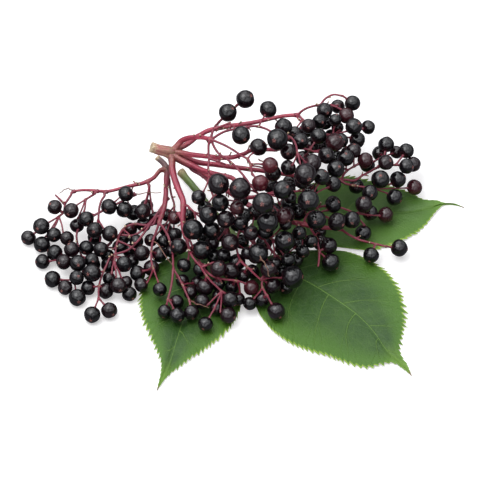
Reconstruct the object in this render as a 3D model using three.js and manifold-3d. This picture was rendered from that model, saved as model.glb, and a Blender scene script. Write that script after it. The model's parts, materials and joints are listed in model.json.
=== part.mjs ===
// A bunch of ripe elderberries lying on its own leaf: two flat-topped cymes and three leaflets.
// Units are millimetres, +Z is up. The bunch is laid out around the middle of the leaf and moved
// at the end, so that the origin is the middle of its footprint at the surface it lies on.

import * as THREE from "three";
import { mergeVertices } from "three/addons/utils/BufferGeometryUtils.js";
import Module from "manifold-3d";

// Driving dimensions.
const leafThickness = 1.2;      // a blade with its veins and its waves
const leafStalkRadius = 1.0;
const mainStalkRadius = 1.7;
const sideStalkRadius = 0.9;
const rayRadius = 0.75;
const twigRadius = 0.5;
const pedicelRadius = 0.32;
const pedicelRootDepth = 0.5;   // how far a pedicel runs into its berry, in berry radii
const gapBetweenPieces = 0.36;  // between two pieces that are not grown together here
const gapInPiece = 0.22;        // between berries and twigs of one spray
const berrySides = 6;
const berryRings = 4;
const pedicelSides = 3;
const twigSides = 4;
const stalkSides = 6;
const stepsPerStretch = 1.5;    // tube sections between two points of a twig or stalk

// Colours and finishes.
const stalkFinish = { color: 0x8f3450, roughness: 0.5, metalness: 0 };
const berryFinish = { color: 0x1b1420, roughness: 0.25, metalness: 0 };
const leafFinish = { color: 0x3d7030, roughness: 0.55, metalness: 0 };
const leafStalkFinish = { color: 0x7d9a55, roughness: 0.5, metalness: 0 };

// Bare stalks. Each has its radius and the points that its axis runs through. A stalk with a
// parent starts beside the parent's axis, and its first point is moved clear of it.
const stalks = [
  { name: "main_stalk", radius: mainStalkRadius, stiff: 1,
    paths: [[[-32, 23, 24.5], [-28, 22.7, 23], [-24.7, 22.4, 22]]] },
  { name: "ray_top", parent: "main_stalk", radius: rayRadius,
    paths: [[[-24, 23, 23], [-21, 24.7, 26], [-18, 23.6, 29], [-13, 21, 32], [-10.6, 19.3, 33]]] },
  { name: "ray_back", parent: "main_stalk", radius: rayRadius,
    paths: [[[-24, 23, 22], [-20, 26.5, 21], [-12.5, 35, 19], [-4, 38.5, 18], [6, 41.4, 17],
      [14, 43.5, 17.5], [20.7, 44, 18]]] },
  { name: "ray_middle", parent: "main_stalk", radius: rayRadius,
    paths: [[[-24, 22.2, 22.3], [-18, 20, 24], [-12, 17.4, 26], [-4.5, 15, 28], [0, 16, 28],
      [4, 19.4, 27], [13, 20.5, 26]]] },
  { name: "ray_inner", parent: "main_stalk", radius: rayRadius,
    paths: [[[-24, 21.6, 21.8], [-17.6, 17.3, 21.5], [-12, 12.8, 23], [-4.7, 7.8, 26], [-2, 6.5, 26],
      [2, -1.6, 26], [12, 0, 26]]] },
  { name: "ray_front", parent: "main_stalk", radius: rayRadius,
    paths: [[[-24.7, 21.5, 21.5], [-24.2, 15.2, 20], [-22.3, 8.4, 19], [-20.2, 2.1, 18],
      [-20.5, -2, 16], [-20.2, -6.7, 13.5], [-19.4, -9.2, 12.5]]] },
  { name: "ray_low", parent: "main_stalk", radius: rayRadius,
    paths: [[[-24.5, 22, 21], [-18, 20.4, 17.4], [-8, 15, 13.4], [2, 8, 11], [10, 3, 10.5],
      [24, -1, 9.5], [36, -2, 8.5]]] },
  { name: "ray_right", parent: "main_stalk", radius: rayRadius,
    paths: [[[-24, 22.5, 21.3], [-20, 22.5, 18.5], [-8, 21.5, 16.5], [8, 20, 15], [26, 17.5, 14],
      [36, 16.2, 14]]] },
  { name: "ray_deep", parent: "ray_low", radius: rayRadius,
    paths: [[[-9, 15, 13.6], [-8.4, 9, 14.6], [-5, -1, 15], [2, -8, 15], [8, -11, 14.5]]] },
  { name: "side_stalk", radius: sideStalkRadius,
    paths: [[[-30, 26.3, 15], [-26.6, 22.6, 14], [-26.6, 15, 13], [-26.9, 7.3, 12], [-27.7, 4, 11],
      [-29, -0.5, 10.3]]] },
  { name: "side_arm_left", parent: "side_stalk", radius: rayRadius,
    paths: [[[-26.8, 22, 14], [-32.4, 16.2, 14], [-40.5, 14, 13], [-47.9, 12.7, 12],
      [-54.8, 14.2, 11], [-60.1, 14.6, 10]]] },
];

// Berry sprays of the main cyme. A berry is [x, y, z, radius] and hangs on the nearest point of
// its spray's twigs.
const mainSprays = [
  { name: "spray_crown_left", parent: "ray_top",
    paths: [
      [[-10.6, 19.3, 33], [-9.6, 22.6, 34.6], [-7.6, 28, 32.4], [-3.6, 33, 32.2], [-1, 34.8, 34]],
      [[-9.6, 22.6, 34.6], [-3.6, 23.1, 37.5]],
    ],
    berries: [[1.5, 35.6, 36, 3.1], [-4.4, 29.5, 36, 3.1], [0.3, 17, 38, 3.1]] },
  { name: "spray_crown_right", parent: "ray_top",
    paths: [[[-10.3, 19.5, 33], [-6, 21.4, 34.6], [1.8, 22.4, 36], [6.7, 22.9, 36], [12, 20.5, 35.5],
      [18, 17.6, 36.3], [20.3, 11.5, 37], [20.3, 5.5, 36.5]]],
    berries: [[10.1, 31, 36, 2.9], [13.3, 13.3, 40, 3.6], [15.6, 23.5, 35, 3], [23.2, -0.7, 37, 3.7],
      [25.8, 8.3, 32.5, 3.2], [17, 6.8, 32, 2.6]] },
  { name: "spray_crown_middle", parent: "ray_top",
    paths: [[[-10.6, 19, 33], [-4.3, 15.1, 33.8], [2.6, 8.4, 34.8], [6.5, 5.6, 35.6]],
      [[2.6, 8.4, 34.8], [4.3, 0.5, 36]]],
    berries: [[6.6, 12.8, 36.4, 2.9], [10.8, 4.6, 36, 2.7], [12, 5.8, 30.5, 2.8], [7.1, -3.8, 36, 2.8]] },
  { name: "spray_crown_front", parent: "ray_top",
    paths: [[[-10.4, 18.6, 32.4], [-9, 16.3, 31], [-2.9, 9.4, 31.6], [2.6, 0.5, 32.4], [5.5, -4.5, 32],
      [10, -8.5, 31.5]]],
    berries: [[8.2, -14, 37, 3.6], [15.1, -8.2, 37.5, 3.2], [9.9, -16.2, 29, 3.6],
      [15.5, -12.4, 28, 2.7], [17.8, -5.6, 30.5, 2.2], [0, -6.3, 36, 3.6]] },
  { name: "spray_inner_top", parent: "ray_top",
    paths: [[[-11, 19, 32.4], [-11.3, 14, 29.5], [-11.2, 7.9, 28], [-10, 3, 28.5]],
      [[-11.3, 14, 29.5], [-5.5, 11.5, 28.6]]],
    berries: [[-7.6, -1.9, 32.6, 3.6], [-7.4, -6.4, 26.8, 2.9], [-14.8, -2, 26, 2.5]] },
  { name: "spray_short", parent: "ray_inner",
    paths: [[[-20, 19.5, 19.8], [-17.6, 18.4, 17.5], [-13.9, 15, 18], [-11.3, 11, 19], [-9.5, 3, 21],
      [-5, -3, 22.5]]],
    berries: [[-12.6, -3, 21.4, 2.5], [-4.3, -9.8, 24.4, 3], [-1, -8.8, 28.4, 2.4],
      [-0.3, -11.4, 22.6, 2.5], [0.5, 2, 20.5, 2.6]] },
  { name: "spray_front_top", parent: "ray_front",
    paths: [[[-20.2, 2, 18], [-16.8, -2.4, 19], [-14.6, -5, 19]]],
    berries: [[-16.3, -11.6, 19.6, 3.5], [-10.6, -11, 18.6, 2.9], [-11, -8, 24, 3.1]] },
  { name: "spray_back_tip", parent: "ray_back",
    paths: [[[20.7, 44, 18], [22.9, 44.8, 20], [28.4, 45.6, 21.6], [35.5, 44.7, 22.4]],
      [[28.4, 45.6, 21.6], [32.8, 48.3, 24], [37, 47.6, 24.4]]],
    berries: [[30.5, 41.8, 23, 2.7], [35.4, 47.6, 18.6, 2.4], [40.6, 46, 22, 2.7],
      [38.5, 41.2, 21, 2.7]] },
  { name: "spray_back_right", parent: "ray_back",
    paths: [[[20.9, 43.6, 17.8], [24.6, 39.5, 18], [28.5, 35.2, 18.6], [33.6, 33.4, 19], [37, 34, 18.6]]],
    berries: [[41, 34.6, 22.4, 2.9], [46.6, 39.5, 15.5, 2.4], [42.4, 35.2, 16, 2.8],
      [36.4, 28.4, 22, 2.5], [34.4, 37.6, 22.6, 2.2], [33, 38, 13, 2.6], [39, 30, 12.5, 2.7],
      [23.4, 39.7, 16, 2.5], [29.5, 36.7, 10, 2.5], [34.6, 38.3, 17, 2.1]] },
  { name: "spray_back_left", parent: "ray_back",
    paths: [[[20.4, 43.6, 18], [22.3, 39.2, 20], [25.8, 38.4, 21.5]]],
    berries: [[28.6, 35.6, 24, 2.5], [31.4, 40.2, 17.6, 2.3], [23.3, 31, 26, 2.5], [20.5, 27, 28, 2.3],
      [18.5, 33, 20, 2.7]] },
  { name: "spray_middle_back", parent: "ray_middle",
    paths: [[[13, 20.5, 26], [19, 20.8, 26.4], [25, 21.6, 24.6], [29.5, 20.6, 22.6]],
      [[19, 20.8, 26.4], [20, 20.6, 29]]],
    berries: [[28, 26.8, 26.2, 2.8], [34, 24, 26, 3.1], [31, 16.6, 27.2, 2.8], [21.5, 18.5, 33, 2.8],
      [17.4, 13, 33.6, 2.8], [25.5, 27.5, 20, 2.7], [22.7, 25, 16, 2.6]] },
  { name: "spray_inner_right", parent: "ray_inner",
    paths: [[[12, 0, 26], [17, 0.6, 25.6], [22.4, 1.2, 25.8], [26, -2.5, 27]]],
    berries: [[22.2, 1.3, 31, 2.6], [29, 3.4, 31, 2.8], [24.3, -10, 33.6, 3.6], [33.4, 6, 24, 2.7],
      [17, 6, 21, 2.7]] },
  { name: "spray_right_upper", parent: "ray_right",
    paths: [[[25, 17.6, 14], [28.5, 14.6, 17.5], [31, 12.5, 20]]],
    berries: [[34.2, 12, 25.4, 3], [25, 10, 25.4, 2.7], [22, 12.5, 19.5, 2.8], [25.2, 16.8, 7, 2.7]] },
  { name: "spray_right_near", parent: "ray_right",
    paths: [[[36, 16.2, 14], [38.4, 18.6, 16.4], [41, 20.4, 16.8]]],
    berries: [[41, 25.2, 20, 2.6], [38, 20.4, 21.6, 2.8], [45, 22.8, 17.6, 2.7], [35, 26, 15, 2.6]] },
  { name: "spray_right_tip", parent: "ray_right",
    paths: [[[36, 16.2, 14], [40.9, 16.5, 13.6], [45, 19.7, 13.6], [49, 22.7, 13], [52.2, 29.6, 11.6]],
      [[49, 22.7, 13], [56.4, 25.4, 11.8]]],
    berries: [[52.9, 34.2, 13, 2.7], [50.5, 34.6, 7.6, 2.5], [56.9, 34.4, 8.6, 2.2],
      [60, 32.6, 11, 2.6], [62.6, 28.8, 8.6, 2.6], [60, 24, 12, 2.6], [52.5, 23, 16, 2.6],
      [46, 28, 9, 2.6]] },
  { name: "spray_right_side", parent: "ray_right",
    paths: [[[36, 16, 14], [41, 14.6, 13], [45.6, 14.6, 12], [51, 16.4, 8.6]]],
    berries: [[50.5, 17.2, 13.6, 3.1], [57.2, 20.4, 9, 2.8], [63, 20.4, 5.6, 2.7],
      [55.8, 15, 6.6, 2.8], [46.3, 10.6, 13.4, 2.7], [42, 19, 7.5, 2.6]] },
  { name: "spray_right_front", parent: "ray_low",
    paths: [[[22, -0.8, 9.6], [26.5, 4.5, 12], [34, 5.4, 12.4], [40, 3.6, 11.4], [45, 2.6, 9]]],
    berries: [[44.6, 5.8, 13.4, 2.9], [40, -1.4, 13, 2.9], [46.8, 7.6, 6.2, 2.7], [52.4, 7.7, 5, 2.7],
      [44.3, -1, 5.2, 2.8], [33.5, 9.5, 9, 2.7]] },
  { name: "spray_low_right", parent: "ray_low",
    paths: [[[25, -1, 9.4], [27.5, 0.5, 14], [29.5, -1.5, 15.6]]],
    berries: [[34.6, -4.4, 15.4, 3.1], [27.3, -7, 19.4, 3.3], [33.4, 1.6, 17.4, 2.6],
      [24.4, 2, 18, 2.7]] },
  { name: "spray_low_leaf", parent: "ray_low",
    paths: [[[25, -1.4, 9.2], [27, -7, 10], [28.2, -12.4, 8.4], [28, -17.6, 6.6]]],
    berries: [[31.8, -9.6, 7.4, 2.8], [32.6, -14, 5, 3.1], [29, -4.6, 5.4, 2.7],
      [28.8, -0.2, 4, 2.4]] },
  { name: "spray_low_far", parent: "ray_low",
    paths: [[[36, -2, 8.5], [41.7, -5.6, 7.4], [48.6, -7.2, 6.4], [52.5, -7.8, 5.6]]],
    berries: [[57.1, -7.6, 4.6, 2.9], [47, -10.8, 4.4, 2.7]] },
  { name: "spray_low_middle", parent: "ray_low",
    paths: [[[21, -0.6, 9.6], [21.5, -4.6, 12.5], [22, -8, 14]]],
    berries: [[21.2, -11.8, 18, 2.4], [22.4, -15.6, 12.2, 2.3], [25.4, -11.6, 13.2, 2.3],
      [16.5, -3, 17.6, 2.7], [16, -5.5, 6, 2.7]] },
  { name: "spray_deep_right", parent: "ray_deep",
    paths: [[[8, -11, 14.5], [11, -13.5, 17.4], [12.4, -16, 16.4]]],
    berries: [[15.9, -17.6, 20.4, 3.4], [16.8, -20.2, 12.4, 2.5], [12.2, -21.6, 12.6, 2.3],
      [16.2, -11.6, 22.6, 2.2], [14.5, -13, 9.6, 2.6]] },
  { name: "spray_deep_middle", parent: "ray_deep",
    paths: [[[4, -9, 14.8], [4.4, -12.4, 17], [4.6, -14.5, 17.4]]],
    berries: [[6.8, -20.8, 17, 3.4], [3.4, -14.2, 21.6, 2.5], [9, -14.6, 22, 2.5],
      [1.6, -17.4, 14, 2.2], [5, -0.7, 16, 2.6]] },
  { name: "spray_deep_left", parent: "ray_deep",
    paths: [[[-3.6, -2.8, 15], [-5, -7.6, 16], [-5, -11, 16.2]]],
    berries: [[-3.6, -16.2, 18, 3], [-9.6, -12.4, 12.6, 2.4], [-6, -17, 11.6, 2.5],
      [1.8, -5, 19.6, 2.5]] },
  { name: "spray_deep_front", parent: "ray_deep",
    paths: [[[0.5, -6.3, 15], [-1, -13, 13.4], [0.3, -20.4, 13.6], [2.6, -23.4, 13], [5, -25.6, 11.8],
      [7.4, -27.4, 10.4]]],
    berries: [[-2.6, -22.4, 10, 2.9], [9.8, -24.2, 13.2, 2.9], [0.6, -22.6, 8, 2.3],
      [12.2, -27.6, 8.4, 2.8], [18.4, -26, 9, 3.9], [6, -15, 8.6, 2.6],
      [-9.4, -15, 9, 2.8], [0, -18.7, 10, 2.8], [2.5, -19.1, 6, 2.5]] },
  { name: "spray_under_right", parent: "ray_low",
    paths: [[[15, 1.2, 10], [14.5, 5, 10.5], [14, 8.5, 12]]],
    berries: [[10.8, 10.7, 18, 2.8], [21, 4.8, 10, 2.9], [17.5, 5, 14.4, 2.6], [12.6, -0.5, 17, 2.5],
      [18, 19.5, 9, 2.5]] },
  { name: "spray_under_middle", parent: "ray_deep",
    paths: [[[-5, -1.2, 14.3], [-4.4, -1.2, 11.2], [-4, -2, 7.6], [-3.2, -4, 5.4]]],
    berries: [[-1, -1.4, 10.5, 2.6], [0.6, -6.4, 6.8, 2.5], [-7.6, -4.4, 8.4, 2.5], [-13, -3.6, 6, 2.5]] },
  { name: "spray_under_front", parent: "ray_deep",
    paths: [[[8.4, -11.2, 13.6], [12.5, -14.2, 9.6], [15.4, -15.4, 6.4], [19.4, -18.4, 5.4],
      [19.6, -22, 4.8]]],
    berries: [[8.6, -7.3, 7, 2.8], [15.2, -20, 6.2, 2.7], [19.6, -12.4, 5, 2.6], [16.6, -25.4, 4.8, 2.6],
      [20.9, -6.1, 5, 2.4]] },
  { name: "spray_leaf_front", parent: "spray_deep_front",
    paths: [[[7.4, -27.4, 10.4], [8.2, -29.8, 9], [9.4, -32.6, 8]]],
    berries: [[7.6, -30.8, 4.4, 2.7], [12.9, -37, 4.6, 3], [3.2, -31.8, 4, 2.3]] },
  { name: "spray_front_left", parent: "ray_front",
    paths: [[[-19.4, -9.2, 12.5], [-18.4, -13, 11.6], [-17.4, -16.4, 10.4]]],
    berries: [[-21.6, -13.6, 12.6, 2.8], [-13.6, -17, 14.6, 3.2], [-20, -19, 8.6, 2.4],
      [-14.6, -20.6, 7.6, 2.5], [-15, -11.4, 8, 2.5]] },
  { name: "spray_front_pink", parent: "ray_front",
    paths: [[[-19, -9.6, 12.3], [-17.4, -18.6, 13.6], [-13.7, -23.6, 12.6], [-11.6, -26.2, 11.6],
      [-8.6, -29.6, 10.2], [-6, -31.4, 9]], [[-13.7, -23.6, 12.6], [-9.4, -22.6, 14.4]],
      [[-6, -31.4, 9], [-9.4, -37.4, 5.6]]],
    berries: [[-12.4, -28, 7.4, 2.9], [-3.4, -32.4, 6.4, 2.8], [-13.9, -33.6, 5.6, 2.6],
      [-7.8, -30.4, 4.6, 2.2], [-8.2, -34.4, 4.4, 2.3], [-12.3, -42.4, 4, 2.5],
      [-4.3, -38.6, 4.4, 2.8]] },
  { name: "spray_front_red", parent: "spray_front_pink",
    paths: [[[-11.8, -26, 11.6], [-8.6, -27, 11.8], [-5, -27.6, 11.4], [-1.6, -27.8, 10.6],
      [0.8, -28, 9.8]]],
    berries: [[4, -28.4, 7.4, 2.6], [-3, -26.2, 5.2, 2.3], [0.2, -32, 4.2, 2.2],
      [-6.8, -25.9, 13, 2.8], [-8.3, -25.4, 5.6, 2.4]] },
];

// Berry sprays of the side cyme.
const sideSprays = [
  { name: "side_tip", parent: "side_arm_left",
    paths: [[[-60.1, 14.6, 10], [-62.9, 9.1, 9], [-63.6, 6, 8], [-67.3, 3.6, 7]],
      [[-62.9, 9.1, 9], [-66.4, 13, 9.6]]],
    berries: [[-66.6, 7.4, 9.6, 2.5], [-71.8, 0.3, 6.2, 2.8], [-76, -1.4, 2.8, 2.5],
      [-71.1, -5, 3.6, 2.8], [-66.2, -2.8, 6.4, 2.5], [-62.6, -5, 6.6, 2.4]] },
  { name: "side_back", parent: "side_arm_left",
    paths: [[[-51, 13.4, 11.6], [-55, 9, 12.4], [-57.6, 7.4, 12.4]]],
    berries: [[-60.6, 3.8, 12, 2.6], [-55.2, 0.5, 11.2, 2.6], [-58.6, 1.4, 6.4, 2.4]] },
  { name: "side_hang", parent: "side_arm_left",
    paths: [[[-47.9, 12.7, 12], [-50.2, 8.5, 10.8], [-50.8, 4, 9.6], [-50.9, -1, 9]]],
    berries: [[-52.4, -5.4, 9.2, 2.7], [-49.9, -10.8, 7.8, 2.6], [-55.2, -9.4, 8, 2.5],
      [-46.8, -5.6, 10.2, 2.7], [-52.2, -2, 4, 2.4]] },
  { name: "side_top", parent: "side_arm_left",
    paths: [[[-40.5, 14, 13], [-42.6, 10.6, 12.4]]],
    berries: [[-41, 9, 15, 2.6], [-46.6, 5.8, 11.4, 2.7], [-41.6, 5.6, 10.2, 2.7],
      [-38.6, 6.8, 7, 2.7]] },
  { name: "side_inner", parent: "side_arm_left",
    paths: [[[-32.4, 16.2, 14], [-33.8, 10.6, 12]]],
    berries: [[-34.9, 4, 11.4, 2.7], [-34.6, 2.6, 5.8, 2.5], [-33.6, 10.4, 7, 2.2],
      [-30.8, 5, 6, 2.3]] },
  { name: "side_middle", parent: "side_stalk",
    paths: [[[-27.7, 3.5, 11], [-31.5, -1, 9.6], [-37.6, 0, 9], [-42, -2.4, 8.4], [-44, -8, 8.4],
      [-45.2, -14, 7.8], [-45.4, -20, 6.8]]],
    berries: [[-41.4, -7.6, 7, 2.5], [-37.1, -6.6, 7, 2.4], [-35.2, -12.4, 7.2, 2.7],
      [-41.8, -16.4, 6.4, 2.8], [-48.4, -14.6, 4.4, 2.7], [-39, -12, 3, 2.4],
      [-47.2, -21.8, 4, 2.2], [-43, -25.6, 4.2, 2.7], [-38.8, -26.6, 2.8, 2.5],
      [-40.4, -22.2, 3.6, 2.3], [-41.8, -3.4, 4, 2.3], [-39.2, 1.8, 4, 2.3]] },
  { name: "side_low_left", parent: "side_middle",
    paths: [[[-43.5, -3.5, 7.6], [-48.5, -7.5, 4.2], [-54, -12, 4.2], [-58.4, -13.4, 4.6]]],
    berries: [[-60, -10.4, 7.4, 2.6], [-63.5, -15.2, 5.4, 2.6], [-58.4, -17.6, 6.6, 2.8],
      [-66.6, -9.4, 4.2, 2.7], [-71.2, -13.2, 2.8, 2.5], [-52.8, -15.6, 3.6, 2.4],
      [-47.5, -10.4, 3.4, 2.3], [-39.6, -8, 2.8, 2.3], [-51.5, -12.4, 3.2, 2.3]] },
  { name: "side_low_end", parent: "side_low_left",
    paths: [[[-56, -13, 4], [-56.4, -18.6, 3], [-59.6, -21.4, 3.4]]],
    berries: [[-67.2, -20.8, 3, 2.8], [-62.4, -24.4, 2.8, 2.5], [-57, -23, 4.4, 2.5],
      [-57.8, -28.9, 3.2, 2.9]] },
  { name: "side_low_front", parent: "side_middle",
    paths: [[[-45.2, -13, 7], [-48.8, -19.4, 5.6], [-50.4, -25.6, 5], [-50, -30.6, 4]]],
    berries: [[-52.8, -21.6, 6.4, 3], [-52.6, -36.9, 3, 2.8], [-46.5, -35.3, 2.9, 2.7],
      [-48.6, -26.6, 2.9, 2.7], [-54.7, -24.4, 3.6, 2.5]] },
  { name: "side_near", parent: "side_stalk",
    paths: [[[-29, -0.5, 10.3], [-31, -8, 9.8], [-32, -13.6, 9.6], [-31.4, -20.4, 9], [-29.8, -24.6, 7]]],
    berries: [[-28.6, -27.4, 5.2, 2.4], [-31.8, -16.6, 4, 2.7], [-37.4, -20.2, 4.4, 2.7],
      [-35.6, -24.4, 3.2, 2.4], [-28.8, -11.4, 5.6, 2.7]] },
  { name: "side_front", parent: "side_stalk",
    paths: [
      [[-28.8, -0.3, 10.4], [-24.8, -10, 10.6], [-23.8, -20, 9.6], [-24.6, -28.6, 8], [-25.6, -33, 6.4]],
      [[-23.8, -20, 9.6], [-20.6, -27.4, 7.6], [-18, -33, 6]],
    ],
    berries: [[-25.9, -36.6, 4, 2.4], [-22.3, -38.6, 4.4, 2.6], [-17.4, -37.2, 4.4, 2.6],
      [-22.6, -32.2, 4, 2.5], [-17.4, -27.6, 5.2, 2.4], [-20.6, -22.6, 4.2, 2.3],
      [-15.1, -23.4, 4, 2.3], [-24.6, -8.4, 4, 2.3]] },
  { name: "side_heart", parent: "side_stalk",
    paths: [[[-26.6, 20, 13.6], [-25, 14, 10.6], [-23.8, 8, 9.6], [-24.6, 2.4, 8.4]]],
    berries: [[-23.8, -4, 7.4, 2.5], [-22.6, 1.6, 10.6, 2.3], [-27.6, -4.6, 5, 2.3],
      [-31.6, -4.8, 5, 2.2], [-26.6, 0.8, 4.6, 2.3], [-18.7, 3.2, 10, 2.3], [-26.3, 8.4, 4, 2.2]] },
];

// The leaf lies flat. Each leaflet has the two sides of its outline, base to tip and tip to base.
const leafStalkPath = [[-21.5, 31.5, 1.05], [-16, 23, 1.05], [-3.5, 3.5, 1.05], [5.4, -7, 1.05]];
const leaflets = [
  { name: "leaflet_left", outline: [
    [[-6.5, -3.5], [-15, -4.5], [-24, -8], [-31.8, -15], [-35.6, -26.8], [-34, -38.6],
      [-28.9, -52.9], [-27.9, -59.3], [-29.4, -69.7]],
    [[-29.4, -69.7], [-24, -61.5], [-15.9, -53.9], [-6, -44.6], [-0.1, -33.8], [0.5, -23],
      [-1.5, -12], [-6.5, -3.5]]] },
  { name: "leaflet_end", outline: [
    [[7.4, -9.4], [3.9, -16], [3.5, -23.9], [6.6, -35.1], [15.5, -46.9], [31.2, -54.4],
      [44.6, -59.3], [53.5, -57.3], [60.8, -63]],
    [[60.8, -63], [59.2, -58], [56.6, -51], [58.5, -37.7], [56.8, -23.9], [50.5, -13.5], [41, -7],
      [29, -5], [17, -6.5], [7.4, -9.4]]] },
  { name: "leaflet_right", outline: [
    [[2.4, 4.6], [8, 12], [18, 21], [28, 27], [37, 29.4], [47, 27.5], [60, 22.4], [66, 18.8],
      [71, 18.2], [74.8, 17.2], [78, 16.8], [81, 15]],
    [[81, 15], [77.8, 15.9], [74.2, 15.6], [70.8, 12.8], [66, 5.6], [59, -0.4], [47, -5.4],
      [37, -4.4], [24, -1.4], [12, 1.8], [2.4, 4.6]]] },
];

// Settling. The points above are where the pieces would like to lie. They are moved as little as
// it takes for every berry and stalk to lie clear of the others, of the leaf and of the surface.
const settleRounds = 420;
const homePull = 0.035;
const homePullFade = 1.6;       // the pull is gone after 1 / 1.6 of the rounds
const lengthGrip = 0.4;
const nearList = 14;            // rounds between two searches for close pairs
const nearMargin = 2.5;
const gapOverLeaf = 0.3;
const gapOverSurface = 0.02;
const lowHeight = 9;            // pieces above this never meet the leaf or the surface
const looseness = { fixed: 0, stalk: 0.06, root: 0.12, twig: 0.35, berry: 1 };

const points = [];
const bars = [];
const pieces = [];

function addPoint(place, kind) {
  const at = new THREE.Vector3(...place);
  points.push({ at, home: at.clone(), give: looseness[kind] });
  return points.length - 1;
}

function addBar(from, to, radius, piece, kind) {
  const length = points[from].at.distanceTo(points[to].at);
  bars.push({ from, to, radius, piece, kind, length });
}

function nearestOnPiece(piece, place) {
  let best = null;
  const line = new THREE.Line3();
  const spot = new THREE.Vector3();
  for (const bar of bars) {
    if (bar.piece !== piece || bar.kind === "berry" || bar.kind === "pedicel") {
      continue;
    }
    line.set(points[bar.from].at, points[bar.to].at);
    line.closestPointToPoint(place, true, spot);
    const distance = spot.distanceTo(place);
    if (best === null || distance < best.distance) {
      best = { distance, spot: spot.clone(), radius: bar.radius };
    }
  }
  return best;
}

// The first point of a branch stands off its parent's axis, towards the branch's second point.
function rootPlace(parent, path, radius) {
  const first = new THREE.Vector3(...path[0]);
  const second = new THREE.Vector3(...path[1]);
  const joint = nearestOnPiece(parent, first);
  const way = second.sub(joint.spot).normalize();
  return joint.spot.addScaledVector(way, joint.radius + radius + gapBetweenPieces).toArray();
}

function addBranches(entry, radius, kind) {
  const known = new Map();
  const chains = [];
  entry.paths.forEach((path, pathIndex) => {
    const chain = path.map((place, index) => {
      const key = place.join(" ");
      if (!known.has(key)) {
        const isRoot = pathIndex === 0 && index === 0 && entry.parent !== undefined;
        const start = isRoot ? rootPlace(entry.parent, path, radius) : place;
        known.set(key, addPoint(start, isRoot ? "root" : kind));
      }
      return known.get(key);
    });
    for (let i = 1; i < chain.length; i += 1) {
      addBar(chain[i - 1], chain[i], radius, entry.name, "twig");
    }
    chains.push(chain);
  });
  return chains;
}

function addStalk(entry) {
  const kind = entry.parent === undefined ? "fixed" : "stalk";
  const chains = addBranches(entry, entry.radius, kind);
  pieces.push({ name: entry.name, radius: entry.radius, chains, berries: [], finish: stalkFinish });
}

function addSpray(entry) {
  const chains = addBranches(entry, twigRadius, "twig");
  const hubs = [...new Set(chains.flat())].slice(1);
  const berries = entry.berries.map(([x, y, z, radius]) => {
    const middle = addPoint([x, y, z], "berry");
    const reach = (hub) => points[hub].at.distanceTo(points[middle].at);
    const hub = hubs.reduce((best, other) => (reach(other) < reach(best) ? other : best));
    addBar(middle, middle, radius, entry.name, "berry");
    addBar(hub, middle, pedicelRadius, entry.name, "pedicel");
    return { middle, hub, radius };
  });
  pieces.push({ name: entry.name, radius: twigRadius, chains, berries, finish: berryFinish });
}

// Outlines of the leaflets, as closed rings of points.
const outlineSteps = 2;         // per stretch between two outline points
function leafletRing(leaflet) {
  return leaflet.outline.flatMap((side) => {
    const curve = new THREE.SplineCurve(side.map(([x, y]) => new THREE.Vector2(x, y)));
    return curve.getPoints((side.length - 1) * outlineSteps).slice(0, -1);
  });
}

function distanceToRing(ring, x, y) {
  let inside = false;
  let nearest = Infinity;
  for (let i = 0, j = ring.length - 1; i < ring.length; j = i, i += 1) {
    const a = ring[j];
    const b = ring[i];
    if ((a.y > y) !== (b.y > y) && x < ((b.x - a.x) * (y - a.y)) / (b.y - a.y) + a.x) {
      inside = !inside;
    }
    const alongX = b.x - a.x;
    const alongY = b.y - a.y;
    const share = ((x - a.x) * alongX + (y - a.y) * alongY) / (alongX * alongX + alongY * alongY);
    const held = Math.min(1, Math.max(0, share));
    nearest = Math.min(nearest, Math.hypot(a.x + held * alongX - x, a.y + held * alongY - y));
  }
  return inside ? -nearest : nearest;
}

const leafRings = leaflets.map(leafletRing);
function groundUnder(x, y, radius) {
  const overLeaf = leafRings.some((ring) => distanceToRing(ring, x, y) < radius + gapOverLeaf);
  return overLeaf ? leafThickness + gapOverLeaf : gapOverSurface;
}

// Shares along two bars at which they come closest.
function closestShares(p1, q1, p2, q2) {
  const d1 = q1.clone().sub(p1);
  const d2 = q2.clone().sub(p2);
  const r = p1.clone().sub(p2);
  const a = d1.lengthSq();
  const e = d2.lengthSq();
  const f = d2.dot(r);
  const clamp = (value) => Math.min(1, Math.max(0, value));
  if (a < 1e-9 && e < 1e-9) {
    return [0, 0];
  }
  if (a < 1e-9) {
    return [0, clamp(f / e)];
  }
  const c = d1.dot(r);
  if (e < 1e-9) {
    return [clamp(-c / a), 0];
  }
  const b = d1.dot(d2);
  const spread = a * e - b * b;
  let s = spread > 1e-9 ? clamp((b * f - c * e) / spread) : 0.5;
  let t = (b * s + f) / e;
  if (t < 0 || t > 1) {
    t = clamp(t);
    s = clamp((b * t - c) / a);
  }
  return [s, t];
}

function closePairs() {
  const found = [];
  const middles = bars.map((bar) => points[bar.from].at.clone().add(points[bar.to].at).multiplyScalar(0.5));
  const reaches = bars.map((bar) => points[bar.from].at.distanceTo(points[bar.to].at) / 2 + bar.radius);
  for (let i = 0; i < bars.length; i += 1) {
    for (let j = i + 1; j < bars.length; j += 1) {
      const one = bars[i];
      const two = bars[j];
      const shared = one.from === two.from || one.to === two.to || one.from === two.to || one.to === two.from;
      if (!shared && middles[i].distanceTo(middles[j]) < reaches[i] + reaches[j] + nearMargin) {
        found.push([one, two]);
      }
    }
  }
  return found;
}

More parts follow.
